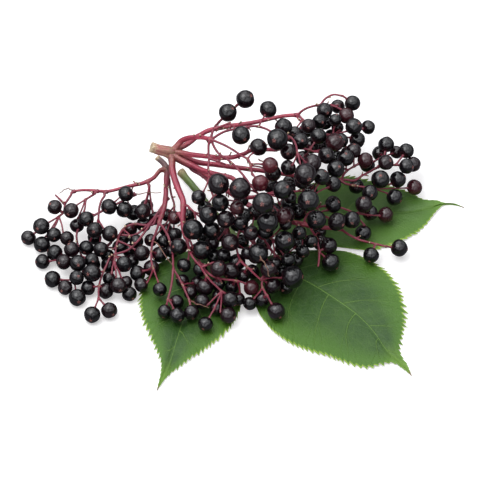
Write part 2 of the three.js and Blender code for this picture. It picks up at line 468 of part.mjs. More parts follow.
function pushApart(one, two) {
  const ends = [points[one.from], points[one.to], points[two.from], points[two.to]];
  const [s, t] = closestShares(ends[0].at, ends[1].at, ends[2].at, ends[3].at);
  const away = ends[0].at.clone().lerp(ends[1].at, s).sub(ends[2].at.clone().lerp(ends[3].at, t));
  const distance = away.length();
  const gap = one.piece === two.piece ? gapInPiece : gapBetweenPieces;
  const lack = one.radius + two.radius + gap - distance;
  if (lack <= 0) {
    return;
  }
  if (distance < 1e-6) {
    away.set(0, 0, 1);
  }
  away.normalize();
  const shares = one.from === one.to ? [1, 0] : [1 - s, s];
  shares.push(...(two.from === two.to ? [-1, 0] : [t - 1, -t]));
  const total = ends.reduce((sum, end, i) => sum + end.give * shares[i] * shares[i], 0);
  if (total < 1e-9) {
    return;
  }
  ends.forEach((end, i) => end.at.addScaledVector(away, (lack * end.give * shares[i]) / total));
}

function keepLength(bar) {
  const from = points[bar.from];
  const to = points[bar.to];
  const way = to.at.clone().sub(from.at);
  const length = way.length();
  const total = from.give + to.give;
  if (total === 0 || length < 1e-6) {
    return;
  }
  const change = (lengthGrip * (length - bar.length)) / (length * total);
  from.at.addScaledVector(way, change * from.give);
  to.at.addScaledVector(way, -change * to.give);
}

function liftOffGround(bar) {
  for (const index of [bar.from, bar.to]) {
    const point = points[index];
    const floor = groundUnder(point.at.x, point.at.y, bar.radius) + bar.radius;
    if (point.give > 0 && point.at.z < floor) {
      point.at.z = floor;
    }
  }
}

function settle() {
  const low = (bar) => Math.min(points[bar.from].at.z, points[bar.to].at.z) < lowHeight;
  let pairs = [];
  for (let round = 0; round < settleRounds; round += 1) {
    if (round % nearList === 0) {
      pairs = closePairs();
    }
    const pull = homePull * Math.max(0, 1 - (homePullFade * round) / settleRounds);
    points.filter((point) => point.give > 0).forEach((point) => point.at.lerp(point.home, pull));
    bars.filter((bar) => bar.kind !== "berry").forEach(keepLength);
    pairs.forEach(([one, two]) => pushApart(one, two));
    bars.filter((bar) => bar.kind !== "pedicel" && low(bar)).forEach(liftOffGround);
  }
}

// Solids.
const wasm = await Module();
wasm.setup();

function solidFrom(geometry) {
  geometry.deleteAttribute("normal");
  geometry.deleteAttribute("uv");
  const merged = mergeVertices(geometry, 1e-4);
  return new wasm.Manifold(new wasm.Mesh({
    numProp: 3,
    vertProperties: new Float32Array(merged.attributes.position.array),
    triVerts: new Uint32Array(merged.index.array),
  }));
}

function geometryFrom(solid) {
  const mesh = solid.getMesh();
  const geometry = new THREE.BufferGeometry();
  geometry.setAttribute("position", new THREE.BufferAttribute(mesh.vertProperties, 3));
  geometry.setIndex(new THREE.BufferAttribute(mesh.triVerts, 1));
  geometry.computeVertexNormals();
  return geometry;
}

function ringShape(radius, sides) {
  const ring = new THREE.Shape();
  for (let i = 0; i < sides; i += 1) {
    const turn = (2 * Math.PI * i) / sides;
    ring[i === 0 ? "moveTo" : "lineTo"](radius * Math.cos(turn), radius * Math.sin(turn));
  }
  ring.closePath();
  return ring;
}

function tube(places, radius, sides, steps) {
  const curve = places.length === 2
    ? new THREE.LineCurve3(...places)
    : new THREE.CatmullRomCurve3(places, false, "centripetal");
  return solidFrom(new THREE.ExtrudeGeometry(ringShape(radius, sides), {
    steps,
    extrudePath: curve,
    bevelEnabled: false,
  }));
}

function berrySolid({ middle, radius }) {
  const ball = new THREE.SphereGeometry(radius, berrySides, berryRings);
  ball.rotateX(Math.PI / 2);
  ball.translate(...points[middle].at.toArray());
  return solidFrom(ball);
}

function pedicelSolid({ middle, hub, radius }) {
  const start = points[hub].at;
  const end = start.clone().lerp(points[middle].at,
    1 - (pedicelRootDepth * radius) / start.distanceTo(points[middle].at));
  return tube([start, end], pedicelRadius, pedicelSides, 1);
}

function pieceMesh(piece) {
  const sides = piece.radius > twigRadius ? stalkSides : twigSides;
  const solids = piece.chains.map((chain) => {
    const places = chain.map((index) => points[index].at);
    const steps = places.length === 2 ? 1 : Math.round((places.length - 1) * stepsPerStretch);
    return tube(places, piece.radius, sides, steps);
  });
  piece.berries.forEach((berry) => {
    solids.push(berrySolid(berry), pedicelSolid(berry));
  });
  const whole = solids.reduce((joined, solid) => joined.add(solid));
  return namedMesh(piece.name, geometryFrom(whole), piece.finish);
}

function leafletMesh(leaflet) {
  const blade = new THREE.ExtrudeGeometry(new THREE.Shape(leafletRing(leaflet)), {
    depth: leafThickness,
    bevelEnabled: false,
  });
  return namedMesh(leaflet.name, geometryFrom(solidFrom(blade)), leafFinish);
}

function namedMesh(name, geometry, finish) {
  const mesh = new THREE.Mesh(geometry, new THREE.MeshStandardMaterial({ ...finish, flatShading: true }));
  mesh.name = name;
  return mesh;
}

stalks.forEach(addStalk);
mainSprays.forEach(addSpray);
sideSprays.forEach(addSpray);
const leafStalk = { name: "leaf_stalk", radius: leafStalkRadius, paths: [leafStalkPath] };
pieces.push({
  name: leafStalk.name,
  radius: leafStalkRadius,
  chains: addBranches(leafStalk, leafStalkRadius, "fixed"),
  berries: [],
  finish: leafStalkFinish,
});
settle();

const cluster = new THREE.Group();
cluster.name = "elderberry_cluster";
pieces.forEach((piece) => cluster.add(pieceMesh(piece)));
leaflets.forEach((leaflet) => cluster.add(leafletMesh(leaflet)));

const extent = new THREE.Box3().setFromObject(cluster);
const middle = extent.getCenter(new THREE.Vector3());
cluster.position.set(-middle.x, -middle.y, -extent.min.z);

export default cluster;
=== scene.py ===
# A bunch of ripe elderberries on its own leaf: skins, stalks, blade and veins, studio floor and lamps.
import bpy
import json
import math
import numpy as np
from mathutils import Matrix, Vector, noise

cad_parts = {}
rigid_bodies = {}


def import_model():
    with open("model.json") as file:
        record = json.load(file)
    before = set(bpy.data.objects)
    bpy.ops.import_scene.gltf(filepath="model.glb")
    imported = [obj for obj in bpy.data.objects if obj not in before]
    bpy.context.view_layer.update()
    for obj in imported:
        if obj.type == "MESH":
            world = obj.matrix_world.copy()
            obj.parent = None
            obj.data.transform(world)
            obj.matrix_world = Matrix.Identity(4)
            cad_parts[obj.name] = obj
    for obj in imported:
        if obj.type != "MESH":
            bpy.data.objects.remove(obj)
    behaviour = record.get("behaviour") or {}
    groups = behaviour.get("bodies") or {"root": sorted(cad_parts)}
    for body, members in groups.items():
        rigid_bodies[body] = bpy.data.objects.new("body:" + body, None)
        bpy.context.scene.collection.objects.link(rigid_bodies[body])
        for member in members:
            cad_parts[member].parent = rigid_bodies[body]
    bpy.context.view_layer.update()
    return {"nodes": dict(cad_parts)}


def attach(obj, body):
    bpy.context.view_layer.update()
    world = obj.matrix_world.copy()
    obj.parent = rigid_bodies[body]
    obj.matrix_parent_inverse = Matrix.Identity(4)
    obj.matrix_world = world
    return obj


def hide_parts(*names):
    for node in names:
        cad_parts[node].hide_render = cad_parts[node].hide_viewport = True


for spare in list(bpy.data.objects):
    bpy.data.objects.remove(spare)
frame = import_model()
mm = 0.001
print("frame loaded:", len(frame["nodes"]), "nodes")


# camera

camera = {
    "aim": (-0.0012, 0.0100, 0.0),   # a little behind the middle of the footprint
    "distance": 2.5,
    "elevation": 50,
    "width": 0.1728,                 # what the view spans at the aim point
    "sensor": 36,
}


def makeCamera():
    eye = bpy.data.objects.new("camera", bpy.data.cameras.new("camera"))
    bpy.context.scene.collection.objects.link(eye)
    tilt = math.radians(camera["elevation"])
    back = Vector((0, -math.cos(tilt), math.sin(tilt)))
    eye.location = Vector(camera["aim"]) + back * camera["distance"]
    eye.rotation_mode = "QUATERNION"
    eye.rotation_quaternion = (-back).to_track_quat("-Z", "Y")
    eye.data.sensor_width = camera["sensor"]
    eye.data.lens = camera["sensor"] * camera["distance"] / camera["width"]
    eye.data.clip_end = 20
    bpy.context.scene.camera = eye


makeCamera()


# reading the frame: a berry is a ball in the CAD meshes, a twig is a row of rings

reading = {
    "grid": 1e-6,                 # vertices closer than this are one
    "berryRadius": (1.9 * mm, 4.4 * mm),
    "berrySides": 6,              # corners around a CAD berry
    "flat": 0.01,                 # four corners this near to one plane fix no ball
    "sameBall": 2e-5,             # fitted balls closer than this are one
    "ballFits": 6,                # how many of them make a berry
    "onBall": 0.004,              # how far a corner may lie off its ball, in radii
    "cornerMiss": 0.012,          # how far it may lie from where a corner belongs, in radii
    "corners": 12,                # how many corners of a berry have to show
    "inBall": 1.0005,             # what lies inside a berry, in radii
    "pedicelRadius": 0.32 * mm,
    "pedicelRoom": 1.04,          # what lies on a pedicel, in its radii
    "pedicelEdge": 0.4 * mm,      # shorter edges say nothing about its way
    "pedicelEnd": 0.9 * mm,       # its last ring may lie this far beyond its longest edge
    "unjoined": 2.5,              # how much farther two rings count that no edge joins
    "ringEdge": 1.05 * mm,        # edges shorter than this lie in one ring of a tube
    "wideRingEdge": 1.9 * mm,     # the same on the main stalk
}


def unit(way):
    return way / np.linalg.norm(way)


def runAlong(path):
    # how far each point lies along its path
    return np.concatenate([[0], np.cumsum(np.linalg.norm(np.diff(path, axis=0), axis=1))])


def unitBall():
    points = [(0, 0, 1), (0, 0, -1)]
    turns = [k * math.pi / 3 for k in range(reading["berrySides"])]
    for z in (-math.sqrt(0.5), 0, math.sqrt(0.5)):
        wide = math.sqrt(1 - z * z)
        points += [(wide * math.cos(turn), wide * math.sin(turn), z) for turn in turns]
    return np.array(points)


ballPoints = unitBall()


def meshOf(name):
    data = frame["nodes"][name].data
    co = np.empty(len(data.vertices) * 3, np.float32)
    data.vertices.foreach_get("co", co)
    data.calc_loop_triangles()
    tris = np.empty(len(data.loop_triangles) * 3, np.int32)
    data.loop_triangles.foreach_get("vertices", tris)
    co = co.reshape(-1, 3).astype(float)
    key = np.round(co / reading["grid"]).astype(np.int64)
    _, first, back = np.unique(key, axis=0, return_index=True, return_inverse=True)
    faces = back.reshape(-1)[tris.reshape(-1, 3)]
    good = (faces[:, 0] != faces[:, 1]) & (faces[:, 1] != faces[:, 2]) & (faces[:, 0] != faces[:, 2])
    return co[first], faces[good]


def edgesOf(faces):
    pairs = np.concatenate([faces[:, [0, 1]], faces[:, [1, 2]], faces[:, [2, 0]]])
    pairs.sort(axis=1)
    return np.unique(pairs, axis=0)


def findBerries(verts, faces):
    # four corners of two neighbouring faces fix one ball; a berry's faces all fix the same one
    opposite = {}
    for a, b, c in faces:
        for p, q, r in ((a, b, c), (b, c, a), (c, a, b)):
            opposite.setdefault((min(p, q), max(p, q)), []).append(r)
    rows = np.array([(p, q, *o) for (p, q), o in opposite.items() if len(o) == 2 and o[0] != o[1]])
    start = verts[rows[:, 0]]
    spans = np.stack([verts[rows[:, k]] - start for k in (1, 2, 3)], axis=1)
    bulk = np.prod(np.linalg.norm(spans, axis=2), axis=1)
    solid = np.abs(np.linalg.det(spans)) > bulk * reading["flat"]
    start, spans = start[solid], spans[solid]
    half = 0.5 * (spans ** 2).sum(axis=2)
    offset = np.linalg.solve(spans, half[..., None])[..., 0]
    centres, radii = start + offset, np.linalg.norm(offset, axis=1)
    low, high = reading["berryRadius"]
    fit = (radii > low) & (radii < high)
    centres, radii = centres[fit], radii[fit]
    berries, used, near = [], np.zeros(len(centres), bool), reading["sameBall"]
    for i in range(len(centres)):
        if used[i]:
            continue
        same = np.linalg.norm(centres - centres[i], axis=1) < near
        same &= np.abs(radii - radii[i]) < near
        used |= same
        if same.sum() < reading["ballFits"]:
            continue
        centre, radius = centres[same].mean(axis=0), radii[same].mean()
        ways = (verts - centre) / radius
        ways = ways[np.abs(np.linalg.norm(ways, axis=1) - 1) < reading["onBall"]]
        misses = np.linalg.norm(ballPoints[:, None] - ways[None], axis=2)
        hits = (misses < reading["cornerMiss"]).any(axis=1).sum()
        if hits >= reading["corners"]:
            berries.append({"centre": centre, "radius": radius})
    return sorted(berries, key=lambda berry: berry["centre"][0])


def joinedGroups(count, pairs):
    group = list(range(count))

    def top(i):
        while group[i] != i:
            group[i] = group[group[i]]
            i = group[i]
        return i

    for a, b in pairs:
        group[top(a)] = top(b)
    return np.array([top(i) for i in range(count)])


def readPedicel(berry, verts, edges, inside):
    # the pedicel's long edges run along its axis, which passes through the berry's middle
    centre, radius = berry["centre"], berry["radius"]
    near = np.linalg.norm(verts - centre, axis=1) < radius * reading["inBall"]
    ways, ends = [], []
    for a, b in edges[near[edges[:, 0]] != near[edges[:, 1]]]:
        p, q = (a, b) if near[a] else (b, a)
        way = verts[q] - verts[p]
        length = np.linalg.norm(way)
        if length < reading["pedicelEdge"]:
            continue
        way = way / length
        side = centre - verts[p]
        away = np.linalg.norm(side - side.dot(way) * way)
        ways.append((abs(away - reading["pedicelRadius"]), length, way))
        ends.append(q)
    exact = [w for w in ways if w[0] < reading["sameBall"]] or sorted(ways, key=lambda w: w[0])[:2]
    axis = unit(sum(length * way for _, length, way in exact))
    along = (verts - centre) @ axis
    away = np.linalg.norm(verts - centre - along[:, None] * axis, axis=1)
    mine = (away < reading["pedicelRadius"] * reading["pedicelRoom"]) & (along > 0) & ~inside
    reach = max([along[q] for q in ends if mine[q]] or [radius * 1.5])
    mine &= along < reach + reading["pedicelEnd"]
    berry["axis"], berry["reach"] = axis, reach
    return mine


def spanningLinks(places, linked):
    # shortest tree through the ring middles; pairs that the mesh does not join count as far
    count = len(places)
    inTree, links = {0}, []
    while len(inTree) < count:
        best = None
        for i in inTree:
            for j in range(count):
                if j in inTree:
                    continue
                cost = np.linalg.norm(places[i] - places[j])
                if (min(i, j), max(i, j)) not in linked:
                    cost = cost * reading["unjoined"] + mm
                if best is None or cost < best[0]:
                    best = (cost, i, j)
        links.append(best[1:])
        inTree.add(best[2])
    return links


def readTwigs(name):
    verts, faces = meshOf(name)
    edges = edgesOf(faces)
    berries = findBerries(verts, faces)
    inside = np.zeros(len(verts), bool)
    for berry in berries:
        away = np.linalg.norm(verts - berry["centre"], axis=1)
        inside |= away < berry["radius"] * reading["inBall"]
    gone = inside.copy()
    for berry in berries:
        gone |= readPedicel(berry, verts, edges, inside)
    kept = edges[~gone[edges[:, 0]] & ~gone[edges[:, 1]]]
    lengths = np.linalg.norm(verts[kept[:, 0]] - verts[kept[:, 1]], axis=1)
    short = reading["wideRingEdge"] if name == "main_stalk" else reading["ringEdge"]
    group = joinedGroups(len(verts), kept[lengths < short])
    rings = [g for g in np.unique(group[~gone]) if ((group == g) & ~gone).sum() >= 3]
    index = {g: i for i, g in enumerate(rings)}
    places = [verts[(group == g) & ~gone].mean(axis=0) for g in rings]
    linked = set()
    for a, b in kept[lengths >= short]:
        if group[a] in index and group[b] in index and group[a] != group[b]:
            i, j = index[group[a]], index[group[b]]
            linked.add((min(i, j), max(i, j)))
    return {"name": name, "places": places, "links": spanningLinks(places, linked), "berries": berries}


leafNames = ["leaflet_left", "leaflet_end", "leaflet_right"]
twigs = {name: readTwigs(name) for name in sorted(frame["nodes"]) if name not in leafNames}
allBerries = [berry for twig in twigs.values() for berry in twig["berries"]]
print("read", len(allBerries), "berries on", len(twigs), "stalks and sprays")


# shapes

def newShape():
    return {"verts": [], "faces": [], "marks": {}}


def addPart(shape, verts, faces, **marks):
    # marks are one number for every vertex, read later by the materials
    base = len(shape["verts"])
    shape["verts"].extend(verts)
    shape["faces"].extend([tuple(base + k for k in face) for face in faces])
    for name in set(shape["marks"]) | set(marks):
        column = shape["marks"].setdefault(name, [0.0] * base)
        values = marks.get(name, 0.0)
        column.extend(np.broadcast_to(values, len(verts)).tolist())


def makePiece(name, shape, material, nodes):
    data = bpy.data.meshes.new(name)
    data.from_pydata([tuple(v) for v in shape["verts"]], [], shape["faces"])
    data.polygons.foreach_set("use_smooth", [True] * len(data.polygons))
    for mark, values in shape["marks"].items():
        data.attributes.new(mark, "FLOAT", "POINT").data.foreach_set("value", values)
    data.materials.append(material)
    piece = bpy.data.objects.new(name, data)
    bpy.context.scene.collection.objects.link(piece)
    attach(piece, "root")
    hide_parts(*nodes)
    return piece


def resample(points, count):
    # the same path with its points at even distances
    points = np.array(points, float)
    run = runAlong(points)
    spots = np.linspace(0, run[-1], count)
    return np.stack([np.interp(spots, run, points[:, k]) for k in range(3)], axis=1)


def evenly(points, step):
    length = runAlong(np.array(points, float))[-1]
    return resample(points, max(2, int(round(length / step)) + 1))


def fade(path, reach):
    # 1 at the start of a path, falling away over the given length
    return np.exp(-(runAlong(path) / reach) ** 2)


def fadeBack(path, reach):
    # the same from its end
    return fade(path[::-1], reach)[::-1]


def bell(path, spot, reach):
    # 1 beside a spot on the path
    return np.exp(-(np.linalg.norm(path - spot, axis=1) / reach) ** 2)


def gridFaces(rows, columns, closed=False, flip=False):
    # faces over rows of points; closed joins the last column to the first
    faces = []
    for i in range(rows - 1):
        for k in range(columns if closed else columns - 1):
            n = (k + 1) % columns
            a, b, c, d = i * columns + k, i * columns + n, (i + 1) * columns + n, (i + 1) * columns + k
            faces.append((a, d, c, b) if flip else (a, b, c, d))
    return faces


def liftOff(verts):
    # nothing reaches below the surface that the bunch lies on
    for spot in verts:
        spot[2] = max(spot[2], 0.02 * mm)


def smoothPath(points, step):
    # a centripetal spline through the points, cut into even steps
    points = [np.array(p, float) for p in points]
    points = [p for i, p in enumerate(points) if i == 0 or np.linalg.norm(p - points[i - 1]) > 0.05 * mm]
    if len(points) < 3:
        return evenly(points, step)
    run = [2 * points[0] - points[1]] + points + [2 * points[-1] - points[-2]]
    fine = []
    for a, b, c, d in zip(run, run[1:], run[2:], run[3:]):
        s = np.cumsum([0] + [np.linalg.norm(q - p) ** 0.5 for p, q in ((a, b), (b, c), (c, d))])
        for t in np.linspace(s[1], s[2], 10, endpoint=False):
            p = (s[1] - t) / (s[1] - s[0]) * a + (t - s[0]) / (s[1] - s[0]) * b
            q = (s[2] - t) / (s[2] - s[1]) * b + (t - s[1]) / (s[2] - s[1]) * c
            r = (s[3] - t) / (s[3] - s[2]) * c + (t - s[2]) / (s[3] - s[2]) * d
            p = (s[2] - t) / (s[2] - s[0]) * p + (t - s[0]) / (s[2] - s[0]) * q
            q = (s[3] - t) / (s[3] - s[1]) * q + (t - s[1]) / (s[3] - s[1]) * r
            fine.append((s[2] - t) / (s[2] - s[1]) * p + (t - s[1]) / (s[2] - s[1]) * q)
    fine.append(points[-1])
    return evenly(fine, step)


def framesAlong(path):
    # directions across a path that turn as little as possible from point to point
    tangents = np.gradient(path, axis=0)
    tangents /= np.linalg.norm(tangents, axis=1)[:, None]
    side = np.cross(tangents[0], (0.31, 0.22, 0.92))
    sides = []
    for way in tangents:
        side = unit(side - side.dot(way) * way)
        sides.append(side)
    sides = np.array(sides)
    return tangents, sides, np.cross(tangents, sides)


tubeStyle = {
    # rings beyond an end: how far out and how wide, in radii
    "beyond": {"round": ((0.5, 0.87), (0.87, 0.5)), "cut": ((0.02, 0.93), (0.03, 0.6)), "open": ()},
    "close": {"round": 1.0, "cut": 0.0, "open": 0.0},   # how far out the end closes, in radii
    "frayed": 0.8,        # how much of a cut shows on the skin behind it
    "frayReach": 1.2,     # and how far, in radii
    "wide": 0.6,          # three broad ribs, as a share of the ridge
    "narrow": 0.4,        # and five narrow ones
    "gnarl": 1.2,         # uneven swellings, as a share of the ridge
    "gnarlPitch": 0.35,   # how often they change, for each mm
}


def ridgeAt(ridge, seed, run, angle):
    ribs = math.cos(3 * angle + seed) * tubeStyle["wide"]
    ribs += math.cos(5 * angle + seed * 2.3) * tubeStyle["narrow"]
    spot = (run / mm * tubeStyle["gnarlPitch"], math.cos(angle) + seed, math.sin(angle))
    return 1 + ridge * ribs + ridge * tubeStyle["gnarl"] * noise.noise(spot)


def addTube(shape, path, radii, around, ridge=0.0, seed=0.0, ends=("round", "round"), **marks):
    # ends: "round" is domed, "cut" is flat with its own mark, "open" is buried in something else
    path, radii = np.array(path), np.broadcast_to(radii, len(path)).astype(float)
    marks = {name: np.broadcast_to(v, len(path)).astype(float) for name, v in marks.items()}
    tangents, sides, ups = framesAlong(path)
    run = runAlong(path)
    reach = tubeStyle["frayReach"]
    worn = tubeStyle["frayed"] * np.maximum(fade(path, reach * radii[0]) * (ends[0] == "cut"),
                                            fadeBack(path, reach * radii[-1]) * (ends[1] == "cut"))
    last = len(path) - 1
    front = [(0, -push, scale, float(ends[0] == "cut")) for push, scale in tubeStyle["beyond"][ends[0]]]
    back = [(last, push, scale, float(ends[1] == "cut")) for push, scale in tubeStyle["beyond"][ends[1]]]
    rings = front[::-1] + [(i, 0.0, 1.0, worn[i]) for i in range(len(path))] + back
    angles = np.arange(around) * 2 * math.pi / around
    verts, columns = [], {name: [] for name in (*marks, "cut", "run", "around")}
    for i, push, scale, cut in rings:
        middle = path[i] + tangents[i] * push * radii[i]
        for angle in angles:
            wave = ridgeAt(ridge, seed, run[i], angle)
            way = sides[i] * math.cos(angle) + ups[i] * math.sin(angle)
            verts.append(middle + way * radii[i] * scale * wave)
            columns["cut"].append(cut)
            columns["run"].append(run[i] / mm)
            columns["around"].append(angle)
            for name, values in marks.items():
                columns[name].append(values[i])
    faces = gridFaces(len(rings), around, closed=True)
    for ring, end, index in ((0, ends[0], 0), (len(rings) - 1, ends[1], last)):
        push = tubeStyle["close"][end] * (-1 if ring == 0 else 1)
        verts.append(path[index] + tangents[index] * push * radii[index])
        for name in columns:
            columns[name].append(columns[name][ring * around])
        tip = len(verts) - 1
        for k in range(around):
            a, b = ring * around + k, ring * around + (k + 1) % around
            faces.append((b, a, tip) if ring == 0 else (a, b, tip))
    addPart(shape, verts, faces, **columns)


# stalks and twigs

stalkStyle = {
    "step": 0.55 * mm,
    "ridge": 0.085,
    # radius at the root and at the tip, and the sides of the tube
    "main": {"root": 1.85 * mm, "tip": 1.95 * mm, "around": 32},
    "side": {"root": 1.05 * mm, "tip": 0.78 * mm, "around": 18},
    "ray": {"root": 1.02 * mm, "tip": 0.66 * mm, "around": 18},
    "arm": {"root": 0.78 * mm, "tip": 0.46 * mm, "around": 16},
    "knot": 0.22,             # swelling where a ray or a spray leaves
    "rayKnot": 1.8 * mm,      # how far it reaches
    "sprayKnot": 1.5 * mm,
    "sprayNear": 1.6 * mm,    # a spray that starts within this grows on the stalk
    "foot": 0.5,              # swelling where a ray leaves its parent
    "footReach": 2.2 * mm,
    "cutKnot": 0.9 * mm,      # the brown rim at the side stalk's cut
    "mainBark": 5 * mm,       # how far the bark shows from the fork or from the root
    "bark": 7 * mm,
    "dull": 8 * mm,           # the withered end of the side stalk
    "stubSpacing": 11,        # points of the path for each stub
}
stoutRays = {"ray_front": 1.28, "ray_low": 1.12, "ray_top": 1.1, "ray_deep": 0.85}
stalkKinds = {"main_stalk": "main", "side_stalk": "side", "side_arm_left": "arm"}   # the others are rays


def nearestOn(line, spot):
    # closest point of a polyline: the point, how far along (in points), and the distance
    line = np.array(line)
    if len(line) == 1:
        return line[0], 0.0, np.linalg.norm(line[0] - spot)
    a, b = line[:-1], line[1:]
    span = b - a
    share = ((spot - a) * span).sum(axis=1) / np.maximum((span ** 2).sum(axis=1), 1e-18)
    share = np.clip(share, 0, 1)
    near = a + span * share[:, None]
    away = np.linalg.norm(near - spot, axis=1)
    i = int(away.argmin())
    return near[i], i + share[i], away[i]


def pathsFrom(twig, root):
    # the tree of rings as runs of points: the longest run first, then its side runs
    beside = {i: [] for i in range(len(twig["places"]))}
    for a, b in twig["links"]:
        beside[a].append(b)
        beside[b].append(a)

    def deepest(i, parent):
        best = (0.0, [i])
        for j in beside[i]:
            if j == parent:
                continue
            length, run = deepest(j, i)
            length += np.linalg.norm(twig["places"][i] - twig["places"][j])
            if length > best[0]:
                best = (length, [i] + run)
        return best

    runs, starts = [], [(root, None)]
    while starts:
        i, parent = starts.pop(0)
        run = deepest(i, parent)[1]
        if parent is not None:
            run = [parent] + run
        runs.append(run)
        for place, before, after in zip(run[1:], run, run[2:] + [None]):
            starts += [(j, place) for j in beside[place] if j not in (before, after)]
        if parent is None:
            starts += [(j, i) for j in beside[i] if j != run[min(1, len(run) - 1)]]
    return [[twig["places"][k] for k in run] for run in runs]


def endsOf(twig):
    degree = [0] * len(twig["places"])
    for a, b in twig["links"]:
        degree[a] += 1
        degree[b] += 1
    return [i for i, d in enumerate(degree) if d <= 1]


raysOfMain = ["ray_top", "ray_back", "ray_middle", "ray_inner", "ray_front", "ray_low", "ray_right"]
stalkParents = dict.fromkeys(raysOfMain, "main_stalk")
stalkParents.update({"ray_deep": "ray_low", "side_stalk": None, "side_arm_left": "side_stalk"})
stalkPaths = {}


def rootOf(twig, lines):
    best = None
    for i in endsOf(twig):
        for name, line in lines.items():
            spot, share, away = nearestOn(line, twig["places"][i])
            if best is None or away < best[0]:
                best = (away, i, spot, name, share)
    return best


mainTwig = twigs["main_stalk"]
mainEnd = min(endsOf(mainTwig), key=lambda i: mainTwig["places"][i][0])
stalkPaths["main_stalk"] = smoothPath(pathsFrom(mainTwig, mainEnd)[0], stalkStyle["step"])
for name, parent in stalkParents.items():
    twig = twigs[name]
    if parent is None:
        root = max(endsOf(twig), key=lambda i: twig["places"][i][1])
        run = pathsFrom(twig, root)[0]
    else:
        _, root, spot, _, _ = rootOf(twig, {parent: stalkPaths[parent]})
        run = [spot] + pathsFrom(twig, root)[0]
    stalkPaths[name] = smoothPath(run, stalkStyle["step"])
    print(name, "stalk", len(stalkPaths[name]), "rings")


def darkerFor(name):
    # the side cyme's stalks and sprays are drawn darker than the rest of the bunch
    return 0.6 if name.startswith("side") else 0.0


twigStyle = {
    "radius": 0.46 * mm,
    "taper": 0.22,
    "around": 10,
    "ridge": 0.05,
    "foot": 0.85,             # swelling where a spray leaves its stalk
    "fork": 0.3,              # and where a twig leaves another
    "footReach": 1.3 * mm,
    "knot": 0.3,              # and where a pedicel leaves
    "knotReach": 0.75 * mm,
    "stubSpacing": 14,        # points of the path for each stub
}
pedicelStyle = {
    "radius": 0.31 * mm,
    "around": 8,
    "ridge": 0.04,
    "step": 0.5 * mm,
    "short": 0.3 * mm,        # how much sooner or later than in the CAD it may reach a twig
    "long": 1.6 * mm,
    "into": 0.9,              # where it ends in the berry, in berry radii
    "bend": 0.05,             # as a share of its length
    "rise": 0.02,
    "leave": 0.12,
    "foot": 0.7,              # swelling at the twig and at the berry
    "collar": 0.75,
    "flare": 0.8 * mm,
    "scar": 0.9 * mm,
    "tip": 2.6 * mm,          # how far the darker end reaches
}
stubStyle = {
    "radius": 0.24 * mm,
    "around": 7,
    "ridge": 0.08,
    "step": 0.3 * mm,
    "shortest": 1.1,          # in mm
    "longer": 1.7,
    "bend": 0.12,
    "lowest": 0.8 * mm,       # lower stubs are left out, and so are those near a berry
    "room": 0.35 * mm,
}


def sprayLinesOf(twig):
    # the twigs of one spray, the first of them grown out of the stalk that carries it
    away, root, spot, parent, share = rootOf(twig, stalkPaths)
    runs = pathsFrom(twig, root)
    parentPath = stalkPaths[parent]
    i = int(min(max(share, 1), len(parentPath) - 2))
    flow = unit(parentPath[i + 1] - parentPath[i - 1])
    first = np.array(runs[0][0])
    runs[0] = [spot - flow * 0.5 * away, spot * 0.45 + first * 0.55 + flow * 0.15 * away] + runs[0]
    return [smoothPath(run, stalkStyle["step"]) for run in runs]


def hubOf(berry, lines):
    # the twig that a berry hangs on, and where its pedicel leaves it
    low, high = berry["reach"] - pedicelStyle["short"], berry["reach"] + pedicelStyle["long"]
    best = None
    for line in lines:
        for reach in np.arange(low, high, 0.15 * mm):
            near, _, gap = nearestOn(line, berry["centre"] + berry["axis"] * reach)
            if best is None or gap < best[0]:
                best = (gap, near, line)
    return best[1:]


def buildSpray(name, shape):
    twig = twigs[name]
    lines = sprayLinesOf(twig)
    hubs = [hubOf(berry, lines) for berry in twig["berries"]]
    for number, line in enumerate(lines):
        foot = twigStyle["foot"] if number == 0 else twigStyle["fork"]
        thick = twigStyle["radius"] * (1 - twigStyle["taper"] * np.linspace(0, 1, len(line)))
        thick = thick * (1 + foot * fade(line, twigStyle["footReach"]))
        knots = np.zeros(len(line))
        for near, owner in hubs:
            if owner is line:
                knots = np.maximum(knots, bell(line, near, twigStyle["knotReach"]))
        shade = noise.noise(Vector(line[0]) * 300)
        addTube(shape, line, thick * (1 + twigStyle["knot"] * knots), twigStyle["around"], twigStyle["ridge"],
                number + shade * 9, ends=("open", "round"), knot=knots, shade=shade + darkerFor(name))
    for berry, (near, _) in zip(twig["berries"], hubs):
        addPedicel(shape, berry, near)
    for number, line in enumerate(lines):
        count = max(1, len(line) // twigStyle["stubSpacing"])
        addStubs(shape, line, twigStyle["radius"], count, number + len(name))
    return lines


def addStubs(shape, line, thick, count, seed):
    # little stumps where berries have dropped off, dry and tan at the tip
    for number in range(count):
        pick = noise.noise((seed * 3.7, number * 5.3, line[0][0] * 400))
        i = int((0.25 + 0.65 * abs(pick * 1.6 % 1)) * (len(line) - 2)) + 1
        way = unit(line[min(i + 1, len(line) - 1)] - line[i - 1])
        angle = pick * 40
        side = unit(np.cross(way, (math.sin(angle), math.cos(angle), 0.5 * math.sin(angle * 2))))
        more = abs(noise.noise((seed, number * 2.1, 7.7)))
        length = (stubStyle["shortest"] + stubStyle["longer"] * more) * mm
        start = line[i]
        tip = start + (side * 0.8 + way * 0.6) * (length + thick)
        if tip[2] < stubStyle["lowest"] or tooNear(tip, stubStyle["room"]):
            continue
        middle = (start + tip) / 2 + way * stubStyle["bend"] * length
        path = smoothPath([start, middle, tip], stubStyle["step"])
        share = np.linspace(0, 1, len(path))
        wide = stubStyle["radius"] * (1.35 - 0.5 * share + 0.4 * (share > 0.85))
        addTube(shape, path, wide, stubStyle["around"], stubStyle["ridge"], seed,
                ends=("open", "cut"), bark=share ** 2, knot=share ** 3)


def tooNear(spot, room):
    return any(np.linalg.norm(berry["centre"] - spot) < berry["radius"] * berryStyle["swell"] + room
               for berry in allBerries)


